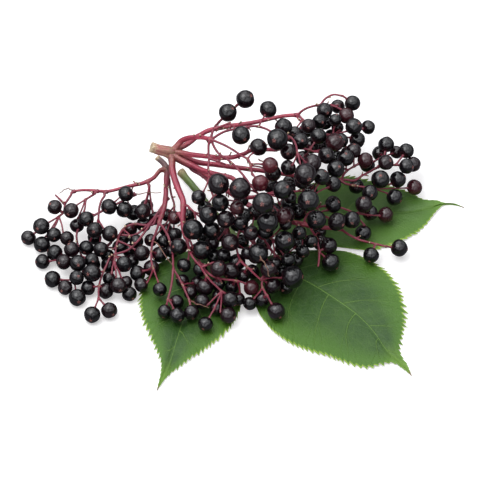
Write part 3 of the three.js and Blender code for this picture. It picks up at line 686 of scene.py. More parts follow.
def addPedicel(shape, berry, hub):
    style = pedicelStyle
    axis, centre, radius = berry["axis"], berry["centre"], berry["radius"]
    top = centre + axis * radius * style["into"]
    seed = noise.noise(centre * 700) * 3
    length = np.linalg.norm(hub - top)
    bend = np.cross(axis, (math.sin(seed * 5), math.cos(seed * 5), 0.4)) * length * style["bend"]
    middle = (hub + top) / 2 + bend + np.array((0, 0, style["rise"] * length))
    leave = hub + (middle - hub) * style["leave"]
    path = smoothPath([hub, leave, middle, top + axis * 0.25 * mm, top], style["step"])
    swell = 1 + style["foot"] * fade(path, style["flare"]) + style["collar"] * fadeBack(path, style["flare"])
    thick = style["radius"] * swell
    thick = thick * (1 + 0.08 * seed)
    addTube(shape, path, thick, style["around"], style["ridge"], seed * 4, ends=("open", "open"),
            knot=fade(path, style["scar"]) * 0.5, shade=seed * 0.3, tip=fadeBack(path, style["tip"]))


def buildStalk(name, shape):
    path = stalkPaths[name]
    share = np.linspace(0, 1, len(path))
    kind = stalkKinds.get(name, "ray")
    style = stalkStyle[kind]
    thick = style["root"] * (1 - share) + style["tip"] * share
    thick = thick * stoutRays.get(name, 1.0)
    knots = np.zeros(len(path))
    for child, parent in stalkParents.items():
        if parent == name:
            knots = np.maximum(knots, bell(path, stalkPaths[child][0], stalkStyle["rayKnot"]))
    for run in sprayLines.values():
        start = run[0][min(2, len(run[0]) - 1)]
        if nearestOn(path, start)[2] < stalkStyle["sprayNear"]:
            knots = np.maximum(knots, bell(path, start, stalkStyle["sprayKnot"]) * 0.7)
    thick = thick * (1 + stalkStyle["knot"] * knots)
    if kind in ("ray", "arm"):
        thick = thick * (1 + stalkStyle["foot"] * fade(path, stalkStyle["footReach"]))
    bark = fadeBack(path, stalkStyle["mainBark"]) if kind == "main" else fade(path, stalkStyle["bark"])
    dull = 0.0
    if kind == "side":
        knots = np.maximum(knots, bell(path, path[0], stalkStyle["cutKnot"]) * 1.3)
        dull = fade(path, stalkStyle["dull"])
    ends = ("cut" if kind in ("main", "side") else "open", "round")
    shade = noise.noise(Vector(path[0]) * 200 + Vector((len(path), 0, 0)))
    addTube(shape, path, thick, style["around"], stalkStyle["ridge"], len(name), ends=ends, knot=knots,
            shade=shade + darkerFor(name), bark=bark, thick=1.0 if kind == "main" else 0.3, dull=dull)
    if kind != "main":
        addStubs(shape, path, float(thick.mean()), len(path) // stalkStyle["stubSpacing"], len(path))


# berries

berryStyle = {
    "around": 34,
    "rings": 26,
    "swell": 1.07,               # ripe skins all but touch their neighbours, or press into them
    "face": (0.12, -0.55, 0.5),  # the way that most scars look, out of the bunch
    # all in shares of the radius
    "dent": 0.065,               # soft lumps from the seeds inside
    "pucker": 0.014,             # smaller ones
    "squat": 0.03,               # how much shorter a berry is from stalk to scar
    "pit": 0.05,                 # hollow around the stalk
    "scarRim": 0.035,
    "scarPit": 0.055,
    "scarPoint": 0.035,
    # in radians from the scar or the stalk
    "calyx": 0.2,
    "pitWide": 0.24,
    "redWide": 0.45,             # the wine red around the stalk
    "unripeWithin": 2.4 * mm,    # how near to its place in the list an unripe berry lies
}
# berries that are still wine red: where they are in mm, and how red
unripe = [
    (9.6, 15.0, 36, 1.0), (5.9, 6.6, 36, 0.95), (2.8, -18, 7.4, 0.45), (14.3, -2, 28, 0.4),
    (-2.2, 1.6, 28.4, 0.35), (-23.8, 12, 10.6, 0.5), (37.3, 51.6, 21, 0.35), (43.8, 33.2, 17.6, 0.3),
    (61.8, 30.8, 5.6, 0.35), (51.2, 18.1, 5, 0.3), (32.2, 34.4, 24, 0.3),
]


def skinReach(way, phi, star, behind, seed, long):
    # how far the skin lies from the middle of its berry, in radii
    edge = phi / berryStyle["calyx"]
    reach = 1 + berryStyle["dent"] * noise.noise(Vector(way) * 1.3 + Vector((seed, 0, 0)))
    reach += berryStyle["pucker"] * noise.noise(Vector(way) * 3.2 + Vector((0, seed, 0)))
    reach -= berryStyle["squat"] * math.cos(phi) ** 2 * long
    reach -= berryStyle["pit"] * math.exp(-(behind / berryStyle["pitWide"]) ** 2)
    reach += berryStyle["scarRim"] * math.exp(-((edge - 0.85) / 0.3) ** 2) * (0.45 + 0.55 * star)
    reach -= berryStyle["scarPit"] * math.exp(-(edge / 0.5) ** 2)
    reach += berryStyle["scarPoint"] * math.exp(-(edge / 0.16) ** 2)
    return reach


def addBerry(shape, berry):
    centre, radius = berry["centre"], berry["radius"] * berryStyle["swell"]
    seed = float(noise.noise(centre * 911)) * 40 + 7
    lean = 0.75 + 0.5 * noise.noise(centre * 377)
    down = unit(-berry["axis"] + np.array(berryStyle["face"]) * lean)
    side = unit(np.cross(down, (0.3, 0.5, 0.8)))
    up = np.cross(down, side)
    long = 1 + 0.05 * noise.noise(centre * 613)
    around, rings = berryStyle["around"], berryStyle["rings"]
    tips = np.linspace(0, 1, rings + 1)
    # rows closer together at the scar
    polar = math.pi * (0.62 * tips + 0.38 * tips ** 1.8)
    verts, calyx, stem = [], [], []
    for row, phi in enumerate(polar):
        for k in range(1 if row in (0, rings) else around):
            theta = 2 * math.pi * k / around + seed * 3.1
            way = down * math.cos(phi) + (side * math.cos(theta) + up * math.sin(theta)) * math.sin(phi)
            star = 0.5 + 0.5 * math.cos(5 * theta)
            behind = math.acos(max(-1.0, min(1.0, float(way @ berry["axis"]))))
            verts.append(centre + way * radius * skinReach(way, phi, star, behind, seed, long))
            ragged = 0.28 * noise.noise(Vector(way) * 9 + Vector((seed, seed, 0)))
            edge = phi / berryStyle["calyx"]
            calyx.append(1 / (1 + math.exp((edge - 0.5 - 0.5 * star ** 1.5 + ragged) * 9)))
            stem.append(math.exp(-(behind / berryStyle["redWide"]) ** 2))
    liftOff(verts)
    last = len(verts) - 1
    faces = [(0, 1 + k, 1 + (k + 1) % around) for k in range(around)]
    faces += [tuple(1 + v for v in face) for face in gridFaces(rings - 1, around, closed=True, flip=True)]
    faces += [(last - around + (k + 1) % around, last - around + k, last) for k in range(around)]
    red = max([0.0] + [much for *spot, much in unripe
                       if np.linalg.norm(np.array(spot) * mm - centre) < berryStyle["unripeWithin"]])
    own = 0.5 + 0.5 * noise.noise(centre * 523)
    addPart(shape, verts, faces, calyx=calyx, stem=stem, red=red, own=own)


# leaf

bladeStyle = {
    "step": 0.5 * mm,
    "outline": 0.3 * mm,
    "across": 36,              # strips from the midrib to the edge
    "thickness": 0.34 * mm,
    "thinner": 0.55,           # how much of it is gone at the edge
    "thinnest": 0.12 * mm,
    "lowest": 0.04 * mm,
    "tooth": 1.28 * mm,
    "pitch": 2.2 * mm,
    "steep": 0.8,              # the share of a tooth that climbs
    "slant": 0.29,             # how far forward a side vein reaches the edge
    "bow": 0.32,
    "quilt": 0.16 * mm,        # swelling along each side vein, with a narrow dip between two
    "swellFrom": 2.2 * mm,     # how far from the midrib it is full
    "rise": 0.12 * mm,         # from the midrib to there
    "level": 0.5 * mm,
    "dip": -0.1 * mm,          # the most it may bend down
    "curl": 0.25 * mm,
    "ripple": 0.03 * mm,
    "ribBlend": 1.6 * mm,
    "keel": 0.55 * mm,         # the midrib on the underside
    "keelWide": 0.7 * mm,
    "tailRun": 0.05,
    "tailNarrow": 0.72,
    "waist": 0.07,             # drawn in before the tip
    "waistAt": 0.925,
    "waistRun": 0.035,
    "clearBelow": 9 * mm,      # only berries and twigs below this press on it
    "underBerry": 0.2 * mm,
    "underTwig": 0.3 * mm,
    "softer": 6,               # times that the dents are smoothed
}
# lean: where the midrib runs between the two edges; veins: side veins on each half
# tail: the share where the tip starts to narrow to a dry thread
# smooth: the share before the tip over which the teeth fade out
leaflets = {
    "leaflet_left": {"lean": 0.5, "veins": 7, "lift": 0.9 * mm, "seed": 3.0},
    "leaflet_end": {"lean": 0.45, "veins": 8, "lift": 1.0 * mm, "seed": 11.0},
    "leaflet_right": {"lean": 0.5, "veins": 8, "lift": 1.2 * mm, "seed": 23.0, "tail": 0.93,
                      "smooth": 0.4},
}


def outlineOf(name):
    # the edge of the CAD blade's underside, walked once around
    verts, faces = meshOf(name)
    low = verts[:, 2] < 0.05 * mm
    counts = {}
    for face in faces[low[faces].all(axis=1)]:
        for a, b in zip(face, np.roll(face, -1)):
            counts.setdefault((min(a, b), max(a, b)), []).append((a, b))
    follow = {pair[0][0]: pair[0][1] for pair in counts.values() if len(pair) == 1}
    start = next(iter(follow))
    loop, at = [start], follow[start]
    while at != start:
        loop.append(at)
        at = follow[at]
    return verts[loop]


def ceilingOver(points):
    # the height at which a blade under the berries and twigs would touch them
    high = bladeStyle["clearBelow"]
    top = np.full(len(points), high)
    for berry in allBerries:
        centre, radius = berry["centre"], berry["radius"]
        if centre[2] - radius > high:
            continue
        away = np.linalg.norm(points[:, :2] - centre[:2], axis=1)
        rest = centre[2] - radius - bladeStyle["underBerry"]
        top = np.minimum(top, rest + np.maximum(away - radius * 0.5, 0) ** 2 / (2.2 * radius))
    for line, thick in runsToClear:
        for spot in line[::3]:
            if spot[2] > high:
                continue
            away = np.linalg.norm(points[:, :2] - spot[:2], axis=1)
            top = np.minimum(top, spot[2] - thick - bladeStyle["underTwig"] + away * 0.5)
    return np.maximum(top, bladeStyle["thickness"] + 0.1 * mm)


def bladeEdges(name):
    # the two edges of a blade from base to tip in equal steps, and the length of the longer one
    kind, style = leaflets[name], bladeStyle
    loop = outlineOf(name)
    base = int(np.argmin([nearestOn(leafStalkLine, p)[2] for p in loop]))
    loop = np.roll(loop, -base, axis=0)
    tip = int(np.linalg.norm(loop - loop[0], axis=1).argmax())
    sides = [loop[:tip + 1], np.concatenate([loop[tip:], loop[:1]])[::-1]]
    sides = [smoothPath(side, style["outline"]) for side in sides]
    length = max(np.linalg.norm(np.diff(side, axis=0), axis=1).sum() for side in sides)
    count = int(length / style["step"])
    share = np.linspace(0, 1, count)
    edges = [resample(side, count) for side in sides]
    if "tail" in kind:
        tail = np.clip((share - kind["tail"] + style["tailRun"]) / style["tailRun"], 0, 1)[:, None]
        tail = tail ** 2 * (3 - 2 * tail) * style["tailNarrow"]
        core = edges[0] * 0.5 + edges[1] * 0.5
        edges = [edge * (1 - tail) + core * tail for edge in edges]
    waist = style["waist"] * np.exp(-((share - style["waistAt"]) / style["waistRun"]) ** 2)[:, None]
    edges = [edge * (1 - waist) + other * waist for edge, other in (edges, edges[::-1])]
    return edges, share, length


def teethOn(share, length, kind, number):
    # along an edge: how far out on its tooth each spot lies, and how large that tooth is
    steep = bladeStyle["steep"]
    spots = share * length / bladeStyle["pitch"]
    spots = spots + np.array([0.9 * noise.noise((s * 9, kind["seed"], number)) for s in share])
    part = spots % 1
    tooth = np.where(part < steep, (part / steep) ** 1.5, (1 - part) / 0.2)
    size = bladeStyle["tooth"] * np.clip(share / 0.1, 0, 1)
    size = size * np.clip((kind.get("tail", 1.02) - share) / kind.get("smooth", 0.24), 0.03, 1)
    uneven = [1 + 0.9 * noise.noise((math.floor(s) * 0.77, number, kind["seed"])) for s in spots]
    return tooth, size * np.array(uneven)


def bladeGrid(name):
    # each half of a blade as a grid of spots from the midrib to the edge, and how wide it is
    kind, style = leaflets[name], bladeStyle
    edges, share, length = bladeEdges(name)
    middle = edges[0] * (1 - kind["lean"]) + edges[1] * kind["lean"]
    # closer together where the tip narrows
    picks = ((1 - (1 - np.linspace(0, 1, 14)) ** 1.6) * (len(share) - 1)).astype(int)
    rib = resample(smoothPath(middle[picks], style["outline"]), len(share))
    rootShare = share - style["slant"] * np.sin(math.pi * share) ** 0.8 * (1 - 0.4 * share)
    rootShare = np.clip(rootShare, 0, 1)
    start = np.stack([np.interp(rootShare, share, rib[:, k]) for k in range(3)], axis=1)
    ahead = np.gradient(start, axis=0)
    ahead /= np.linalg.norm(ahead, axis=1)[:, None]
    out = np.linspace(0, 1, style["across"] + 1)
    out = out * 0.82 + 0.18 * (1 - (1 - out) ** 2)
    halves = []
    for number, edge in enumerate(edges):
        outward = edge - start
        wide = np.linalg.norm(outward, axis=1)
        outward /= np.maximum(wide, 1e-9)[:, None]
        tooth, size = teethOn(share, length, kind, number)
        push = outward * (tooth - 0.45)[:, None] + ahead * (0.95 * tooth)[:, None]
        bow = np.outer(style["bow"] * wide * np.sin(math.pi * share) ** 0.5, out * (1 - out))
        grid = start[:, None] + (edge - start)[:, None] * out[None, :, None]
        grid = grid - ahead[:, None] * bow[:, :, None]
        grid = grid + (push * size[:, None])[:, None] * (out ** 9)[None, :, None]
        halves.append((grid, wide))
    return share, out, halves, length


def noiseOver(grid, scale, seed):
    return np.array([[noise.noise((p[0] * scale, p[1] * scale, seed)) for p in row] for row in grid])


def veinsOver(share, out, kind, number):
    # climbs by one from each side vein to the next; the vein itself is at one half
    veins = share[:, None] * kind["veins"] + 0.5 * number + 0.25
    seed = kind["seed"] + number * 5
    return veins + 0.16 * np.array([[noise.noise((v * 0.9, o * 2.0, seed)) for o in out]
                                    for v in share * (kind["veins"] - 1)])


def heightOver(grid, share, out, across, veins, kind, number):
    # how high the upper skin of one half lies, pressed down by what lies on it
    style, seed = bladeStyle, kind["seed"]
    rows, columns = len(share), len(out)
    ceiling = ceilingOver(grid.reshape(-1, 3)).reshape(rows, columns)
    part = np.abs((veins % 1) - 0.5) * 2
    away = np.clip(across / style["swellFrom"], 0, 1)
    swell = style["quilt"] * (1 - part ** 3) * away * (1 - 0.55 * out[None, :] ** 3)
    wave = noiseOver(grid, 38, seed)
    bend = kind["lift"] * (0.55 + 0.9 * wave) * out[None, :] ** 1.3 * np.sin(math.pi * share)[:, None] ** 0.5
    bend = bend * (1 - 0.8 * out[None, :] ** 6)
    curl = style["curl"] * np.sin(share * 31 + seed + number * 2)[:, None] * out[None, :] ** 4
    height = style["level"] + np.maximum(bend, style["dip"]) + swell + np.maximum(curl, style["dip"])
    height = height + style["ripple"] * noiseOver(grid, 260, seed) + style["rise"] * away
    height = np.minimum(height, ceiling)
    for _ in range(style["softer"]):
        soft = height.copy()
        beside = height[:-2, 1:-1] + height[2:, 1:-1] + height[1:-1, :-2] + height[1:-1, 2:]
        soft[1:-1, 1:-1] = beside / 4
        height = np.minimum(np.where(ceiling < height + 0.5 * mm, soft, height), ceiling)
    return height


def buildBlade(name):
    kind, style = leaflets[name], bladeStyle
    share, out, halves, length = bladeGrid(name)
    rows, columns = len(share), len(out)
    shape = newShape()
    layers = []
    for number, (grid, wide) in enumerate(halves):
        across = wide[:, None] * out[None, :]
        veins = veinsOver(share, out, kind, number)
        grid[:, :, 2] = heightOver(grid, share, out, across, veins, kind, number)
        layers.append((grid, across, veins))
    ribHeight = np.minimum(layers[0][0][:, 0, 2], layers[1][0][:, 0, 2])[:, None]
    for number, (grid, across, veins) in enumerate(layers):
        near = np.exp(-(across / style["ribBlend"]) ** 2)
        grid[:, :, 2] = grid[:, :, 2] * (1 - near) + ribHeight * near
        thick = style["thickness"] * (1 - style["thinner"] * out[None, :] ** 6)
        keel = style["keel"] * np.exp(-(across / style["keelWide"]) ** 2) * (1 - 0.7 * share)[:, None]
        under, top = grid.copy(), grid.copy()
        under[:, :, 2] = np.maximum(grid[:, :, 2] - thick - keel, style["lowest"])
        top[:, :, 2] = np.maximum(top[:, :, 2], under[:, :, 2] + style["thinnest"])
        for layer, turned in ((top, number == 1), (under, number == 0)):
            addPart(shape, layer.reshape(-1, 3), gridFaces(rows, columns, flip=turned),
                    vein=veins.reshape(-1), across=across.reshape(-1) / mm, out=np.tile(out, rows),
                    gap=length / kind["veins"] / mm, under=float(layer is under),
                    share=np.repeat(share, columns))
        quads = [(i, i + 1, rows + i + 1, rows + i) for i in range(rows - 1)]
        quads = quads if number == 1 else [quad[::-1] for quad in quads]
        addPart(shape, np.concatenate([top[:, -1], under[:, -1]]), quads,
                out=1.0, across=20.0, vein=0.5, gap=5.0, share=np.tile(share, 2))
    return shape


# materials

class Tree:
    # a small hand for wiring nodes: values go in as numbers, colours or other nodes' outputs
    def __init__(self, tree):
        self.tree = tree

    def node(self, kind, settings=None, **inputs):
        node = self.tree.nodes.new(kind)
        for key, value in (settings or {}).items():
            setattr(node, key, value)
        for key, value in inputs.items():
            socket = node.inputs[int(key[1:])] if key[0] == "i" and key[1:].isdigit() else node.inputs[key]
            self.feed(socket, value)
        return node

    def feed(self, socket, value):
        if isinstance(value, bpy.types.NodeSocket):
            self.tree.links.new(value, socket)
        elif isinstance(value, tuple) and socket.type == "RGBA" and len(value) == 3:
            socket.default_value = (*value, 1)
        else:
            socket.default_value = value

    def math(self, operation, a, b=0.0, c=0.0):
        return self.node("ShaderNodeMath", {"operation": operation}, i0=a, i1=b, i2=c).outputs[0]

    def times(self, a, b):
        return self.math("MULTIPLY", a, b)

    def plus(self, value, amount, base):
        # so much of a value on top of another
        return self.math("MULTIPLY_ADD", value, amount, base)

    def fromMiddle(self, value):
        return self.math("ABSOLUTE", self.math("SUBTRACT", value, 0.5))

    def mix(self, share, a, b):
        return self.node("ShaderNodeMix", {"data_type": "RGBA"}, i0=share, i6=a, i7=b).outputs[2]

    def band(self, value, low, high, toLow=0.0, toHigh=1.0):
        settings = {"interpolation_type": "SMOOTHSTEP"}
        return self.node("ShaderNodeMapRange", settings,
                         i0=value, i1=low, i2=high, i3=toLow, i4=toHigh).outputs[0]

    def blend(self, value, low, high, colours):
        # from one colour to the other as the value climbs from low to high
        return self.mix(self.band(value, low, high), *colours)

    def tint(self, share, amount, base, colour):
        return self.mix(self.times(share, amount), base, colour)

    def noise(self, vector, scale, detail=3.0, roughness=0.55):
        return self.node("ShaderNodeTexNoise", None, Vector=vector, Scale=scale, Detail=detail,
                         Roughness=roughness).outputs[0]

    def cells(self, vector, scale, low, high):
        # the lines between the cells of a net
        lines = self.node("ShaderNodeTexVoronoi", {"feature": "DISTANCE_TO_EDGE"}, Vector=vector, Scale=scale)
        return self.band(lines.outputs[0], low, high, 1.0, 0.0)

    def mark(self, name):
        return self.node("ShaderNodeAttribute", {"attribute_name": name}).outputs["Fac"]

    def marks(self, names):
        return [self.mark(name) for name in names.split()]

    def place(self):
        return self.node("ShaderNodeNewGeometry").outputs["Position"]

    def bump(self, height, distance, strength):
        return self.node("ShaderNodeBump", None, Height=height, Distance=distance,
                         Strength=strength).outputs[0]


def newGroup(name, inputs, outputs):
    group = bpy.data.node_groups.new(name, "ShaderNodeTree")
    for label, kind, value in inputs:
        socket = group.interface.new_socket(label, in_out="INPUT", socket_type="NodeSocket" + kind)
        if value is not None:
            socket.default_value = value
    for label in outputs:
        group.interface.new_socket(label, in_out="OUTPUT", socket_type="NodeSocketFloat")
    start = group.nodes.new("NodeGroupInput")
    end = group.nodes.new("NodeGroupOutput")
    return group, Tree(group), start.outputs, end.inputs


def useGroup(tree, group, **inputs):
    node = tree.tree.nodes.new("ShaderNodeGroup")
    node.node_tree = group
    for key, value in inputs.items():
        tree.feed(node.inputs[key], value)
    return node.outputs


def newMaterial(name):
    material = bpy.data.materials.new(name)
    material.use_nodes = True
    shader = material.node_tree.nodes["Principled BSDF"]
    return material, Tree(material.node_tree), shader


def makeMottling():
    # broad clouds and fine specks, both around one half
    inputs = [("Vector", "Vector", None), ("Size", "Float", 400.0)]
    group, t, given, result = newGroup("mottling", inputs, ["Clouds", "Specks"])
    t.feed(result["Clouds"], t.noise(given["Vector"], given["Size"], 3.0, 0.5))
    fine = t.times(given["Size"], 7.0)
    t.feed(result["Specks"], t.noise(given["Vector"], fine, 2.0, 0.6))
    return group


def makeStreaks():
    # long fine lines that run with a stalk
    inputs = [("Around", "Float", 0.0), ("Run", "Float", 0.0), ("Fineness", "Float", 3.0)]
    group, t, given, result = newGroup("streaks", inputs, ["Lines"])
    x = t.times(t.math("COSINE", given["Around"]), given["Fineness"])
    y = t.times(t.math("SINE", given["Around"]), given["Fineness"])
    z = t.times(given["Run"], 0.16)
    spot = t.node("ShaderNodeCombineXYZ", None, X=x, Y=y, Z=z).outputs[0]
    t.feed(result["Lines"], t.noise(spot, 1.0, 4.0, 0.6))
    return group


mottling = makeMottling()
streaks = makeStreaks()


berryLook = {
    "mottle": 260.0,
    "ink": ((0.0026, 0.0024, 0.0032), (0.0062, 0.0042, 0.0058)),
    "plum": (0.017, 0.0046, 0.0078),     # the less black ones
    "wine": ((0.06, 0.006, 0.012), (0.135, 0.02, 0.03)),
    "bloom": (0.026, 0.026, 0.032),
    "bloomAmount": 0.22,
    "stem": (0.085, 0.014, 0.024),       # the skin around the stalk
    "stemAmount": 0.5,
    "scar": ((0.06, 0.012, 0.016), (0.54, 0.18, 0.155)),
    "shriveled": (0.3, 2.2),             # the depth of the folds, least and most
    "bump": 0.0002,
    "bumpAmount": 0.5,
}


def makeBerrySkin():
    material, t, shader = newMaterial("berry skin")
    look = berryLook
    place = t.place()
    clouds = useGroup(t, mottling, Vector=place, Size=look["mottle"])
    red, own, calyx, stem = t.marks("red own calyx stem")
    ink = t.blend(clouds["Clouds"], 0.3, 0.75, look["ink"])
    ink = t.mix(t.band(own, 0.45, 0.85, 0.0, 0.85), ink, look["plum"])
    wine = t.blend(clouds["Clouds"], 0.3, 0.7, look["wine"])
    skin = t.mix(red, ink, wine)
    skin = t.tint(t.band(clouds["Specks"], 0.45, 0.8), look["bloomAmount"], skin, look["bloom"])
    skin = t.tint(stem, look["stemAmount"], skin, look["stem"])
    fine = t.noise(place, 4200.0, 2.0)
    scar = t.blend(fine, 0.42, 0.6, look["scar"])
    cover = t.times(calyx, t.band(fine, 0.4, 0.52, 0.15, 0.95))
    t.feed(shader.inputs["Base Color"], t.mix(cover, skin, scar))
    rough = t.plus(clouds["Specks"], 0.12, 0.07)
    t.feed(shader.inputs["Roughness"], t.plus(calyx, 0.4, rough))
    lumps = t.plus(clouds["Clouds"], 0.8, t.times(clouds["Specks"], 0.1))
    lumps = t.plus(cover, 0.7, lumps)
    # some have begun to shrivel
    folds = t.fromMiddle(t.noise(place, 330.0, 2.0, 0.45))
    deep = t.band(t.math("FRACT", t.times(own, 7.0)), 0.3, 0.9, *look["shriveled"])
    t.feed(shader.inputs["Normal"], t.bump(t.plus(folds, deep, lumps), look["bump"], look["bumpAmount"]))
    shader.inputs["IOR"].default_value = 1.48
    shader.inputs["Specular IOR Level"].default_value = 0.5
    return material


stalkLook = {
    "mottle": 210.0,
    "lines": 3.6,
    "twig": ((0.15, 0.008, 0.028), (0.34, 0.026, 0.064)),
    "ray": ((0.22, 0.010, 0.036), (0.55, 0.062, 0.11)),
    "main": ((0.36, 0.055, 0.075), (0.62, 0.29, 0.23)),
    "dark": (0.13, 0.007, 0.026),
    "darkAmount": 0.55,
    "flush": (0.56, 0.12, 0.15),
    "flushAmount": 0.22,
    "olive": ((0.11, 0.055, 0.03), (0.29, 0.165, 0.09)),     # knots and bark
    "tip": (0.10, 0.02, 0.025),                              # where a berry hangs
    "tipAmount": 0.3,
    "withered": ((0.055, 0.028, 0.032), (0.19, 0.115, 0.12)),
    "witheredAmount": 0.9,
    "wood": ((0.42, 0.27, 0.15), (0.76, 0.64, 0.44)),        # the cut
    "bump": 0.0004,
    "bumpAmount": 0.7,
    "coat": 0.2,
    "coatRoughness": 0.22,
}


def makeStalkSkin():
    material, t, shader = newMaterial("stalk skin")
    look = stalkLook
    place = t.place()
    clouds = useGroup(t, mottling, Vector=place, Size=look["mottle"])
    around, run = t.marks("around run")
    lines = useGroup(t, streaks, Around=around, Run=run, Fineness=look["lines"])["Lines"]
    knot, bark, cut, shade, thick, tip = t.marks("knot bark cut shade thick tip")
    twig = t.blend(lines, 0.3, 0.7, look["twig"])
    ray = t.blend(lines, 0.36, 0.64, look["ray"])
    skin = t.mix(t.band(thick, 0.0, 0.3), twig, ray)
    main = t.blend(lines, 0.38, 0.62, look["main"])
    skin = t.mix(t.band(thick, 0.4, 0.9), skin, main)
    skin = t.tint(t.band(shade, -0.5, 0.8), look["darkAmount"], skin, look["dark"])
    skin = t.tint(t.band(clouds["Clouds"], 0.5, 0.8), look["flushAmount"], skin, look["flush"])
    olive = t.blend(clouds["Specks"], 0.35, 0.65, look["olive"])
    skin = t.tint(t.band(knot, 0.35, 0.95), t.band(clouds["Specks"], 0.38, 0.58, 0.3, 0.9), skin, olive)
    skin = t.tint(t.band(bark, 0.1, 1.0), t.band(lines, 0.35, 0.6, 0.15, 0.75), skin, olive)
    skin = t.tint(tip, look["tipAmount"], skin, look["tip"])
    withered = t.blend(lines, 0.4, 0.6, look["withered"])
    skin = t.tint(t.mark("dull"), look["witheredAmount"], skin, withered)
    wood = t.blend(clouds["Specks"], 0.35, 0.65, look["wood"])
    fray = t.band(t.plus(lines, 1.6, cut), 0.95, 1.6)
    t.feed(shader.inputs["Base Color"], t.mix(fray, skin, wood))
    t.feed(shader.inputs["Roughness"], t.plus(lines, 0.2, 0.3))
    grain = t.plus(lines, 0.8, t.times(clouds["Specks"], 0.2))
    t.feed(shader.inputs["Normal"], t.bump(grain, look["bump"], look["bumpAmount"]))
    shader.inputs["Coat Weight"].default_value = look["coat"]
    shader.inputs["Coat Roughness"].default_value = look["coatRoughness"]
    return material


bladeLook = {
    "mottle": 75.0,
    "green": ((0.018, 0.060, 0.007), (0.034, 0.090, 0.011)),
    "speck": (0.062, 0.128, 0.026),
    "speckAmount": 0.25,
    "pale": (0.098, 0.20, 0.042),        # the right leaflet
    "paleAmount": 0.6,
    "outer": (0.078, 0.19, 0.016),       # towards the edge
    "outerAmount": 0.72,
    "net": (0.10, 0.19, 0.04),
    "netAmount": 0.08,
    "creaseAmount": 0.13,
    "vein": (0.12, 0.22, 0.045),
    "veinAmount": 0.7,
    "rib": (0.14, 0.26, 0.05),
    "ribAmount": 0.75,
    "back": ((0.13, 0.20, 0.09), (0.17, 0.25, 0.12)),
    "backVein": (0.30, 0.38, 0.18),
    "rim": (0.33, 0.50, 0.06),
    "rimAmount": 0.85,
    "end": (0.20, 0.37, 0.05),
    "endAmount": 0.7,
    "dry": (0.22, 0.12, 0.05),           # the very tip
    "dryAmount": 0.9,
    "bump": 0.0003,
    "bumpAmount": 0.7,
    "shine": 0.3,
}


def makeBladeSkin():
    material, t, shader = newMaterial("leaf blade")
    look = bladeLook
    place = t.place()
    clouds = useGroup(t, mottling, Vector=place, Size=look["mottle"])
    vein, across, out, gap, under, share = t.marks("vein across out gap under share")
    part = t.math("FRACT", vein)
    away = t.times(t.fromMiddle(part), gap)
    # thin towards the edge, where it forks into the net
    wide = t.plus(out, -0.12, 0.24)
    lateral = t.band(t.math("DIVIDE", away, wide), 0.45, 1.5, 1.0, 0.0)
    lateral = t.times(lateral, t.band(out, 0.6, 1.0, 1.0, 0.3))
    # two side branches leave every side vein on its way to the edge
    fork = t.times(t.band(out, 0.35, 1.0), 0.27)
    beside = t.math("ABSOLUTE", t.math("SUBTRACT", t.fromMiddle(part), fork))
    branch = t.band(t.math("DIVIDE", t.times(beside, gap), wide), 0.3, 1.1, 1.0, 0.0)
    branch = t.times(branch, t.band(out, 0.4, 0.55, 0.0, 0.5))
    lateral = t.math("MAXIMUM", lateral, branch)
    ribWide = t.plus(share, -0.25, 0.44)
    rib = t.band(t.math("DIVIDE", across, ribWide), 0.55, 1.2, 1.0, 0.0)
    net = t.cells(place, 620.0, 0.02, 0.14)
    crease = t.cells(place, 230.0, 0.01, 0.07)
    green = t.blend(clouds["Clouds"], 0.32, 0.7, look["green"])
    green = t.tint(t.band(clouds["Specks"], 0.45, 0.75), look["speckAmount"], green, look["speck"])
    green = t.tint(t.mark("pale"), look["paleAmount"], green, look["pale"])
    green = t.mix(t.band(out, 0.45, 1.0, 0.0, look["outerAmount"]), green, look["outer"])
    green = t.tint(net, look["netAmount"], green, look["net"])
    green = t.tint(crease, look["creaseAmount"], green, look["net"])
    green = t.tint(lateral, look["veinAmount"], green, look["vein"])
    green = t.tint(rib, look["ribAmount"], green, look["rib"])
    back = t.blend(clouds["Clouds"], 0.3, 0.7, look["back"])
    back = t.mix(t.math("MAXIMUM", t.times(lateral, 0.6), rib), back, look["backVein"])
    green = t.mix(under, green, back)
    green = t.mix(t.band(out, 0.96, 0.995, 0.0, look["rimAmount"]), green, look["rim"])
    green = t.mix(t.band(share, 0.84, 0.98, 0.0, look["endAmount"]), green, look["end"])
    green = t.mix(t.band(share, 0.975, 0.995, 0.0, look["dryAmount"]), green, look["dry"])
    t.feed(shader.inputs["Base Color"], green)
    t.feed(shader.inputs["Roughness"], t.plus(clouds["Specks"], 0.16, 0.4))
    sunk = t.plus(lateral, -0.9, t.times(net, -0.18))
    sunk = t.plus(crease, -0.14, sunk)
    sunk = t.plus(rib, -0.8, sunk)
    # sunk in the upper side, raised on the back
    sunk = t.times(sunk, t.band(under, 0.4, 0.6, 1.0, -1.0))
    t.feed(shader.inputs["Normal"], t.bump(sunk, look["bump"], look["bumpAmount"]))
    shader.inputs["Specular IOR Level"].default_value = look["shine"]
    return material


leafStalkLook = {
    "mottle": 190.0,
    "lines": 2.0,
    "green": ((0.052, 0.105, 0.015), (0.14, 0.215, 0.042)),
    "bark": (0.19, 0.11, 0.05),
    "barkAmount": 0.75,
    "wood": ((0.20, 0.12, 0.06), (0.42, 0.33, 0.18)),
    "bump": 0.0002,
    "bumpAmount": 0.5,
}


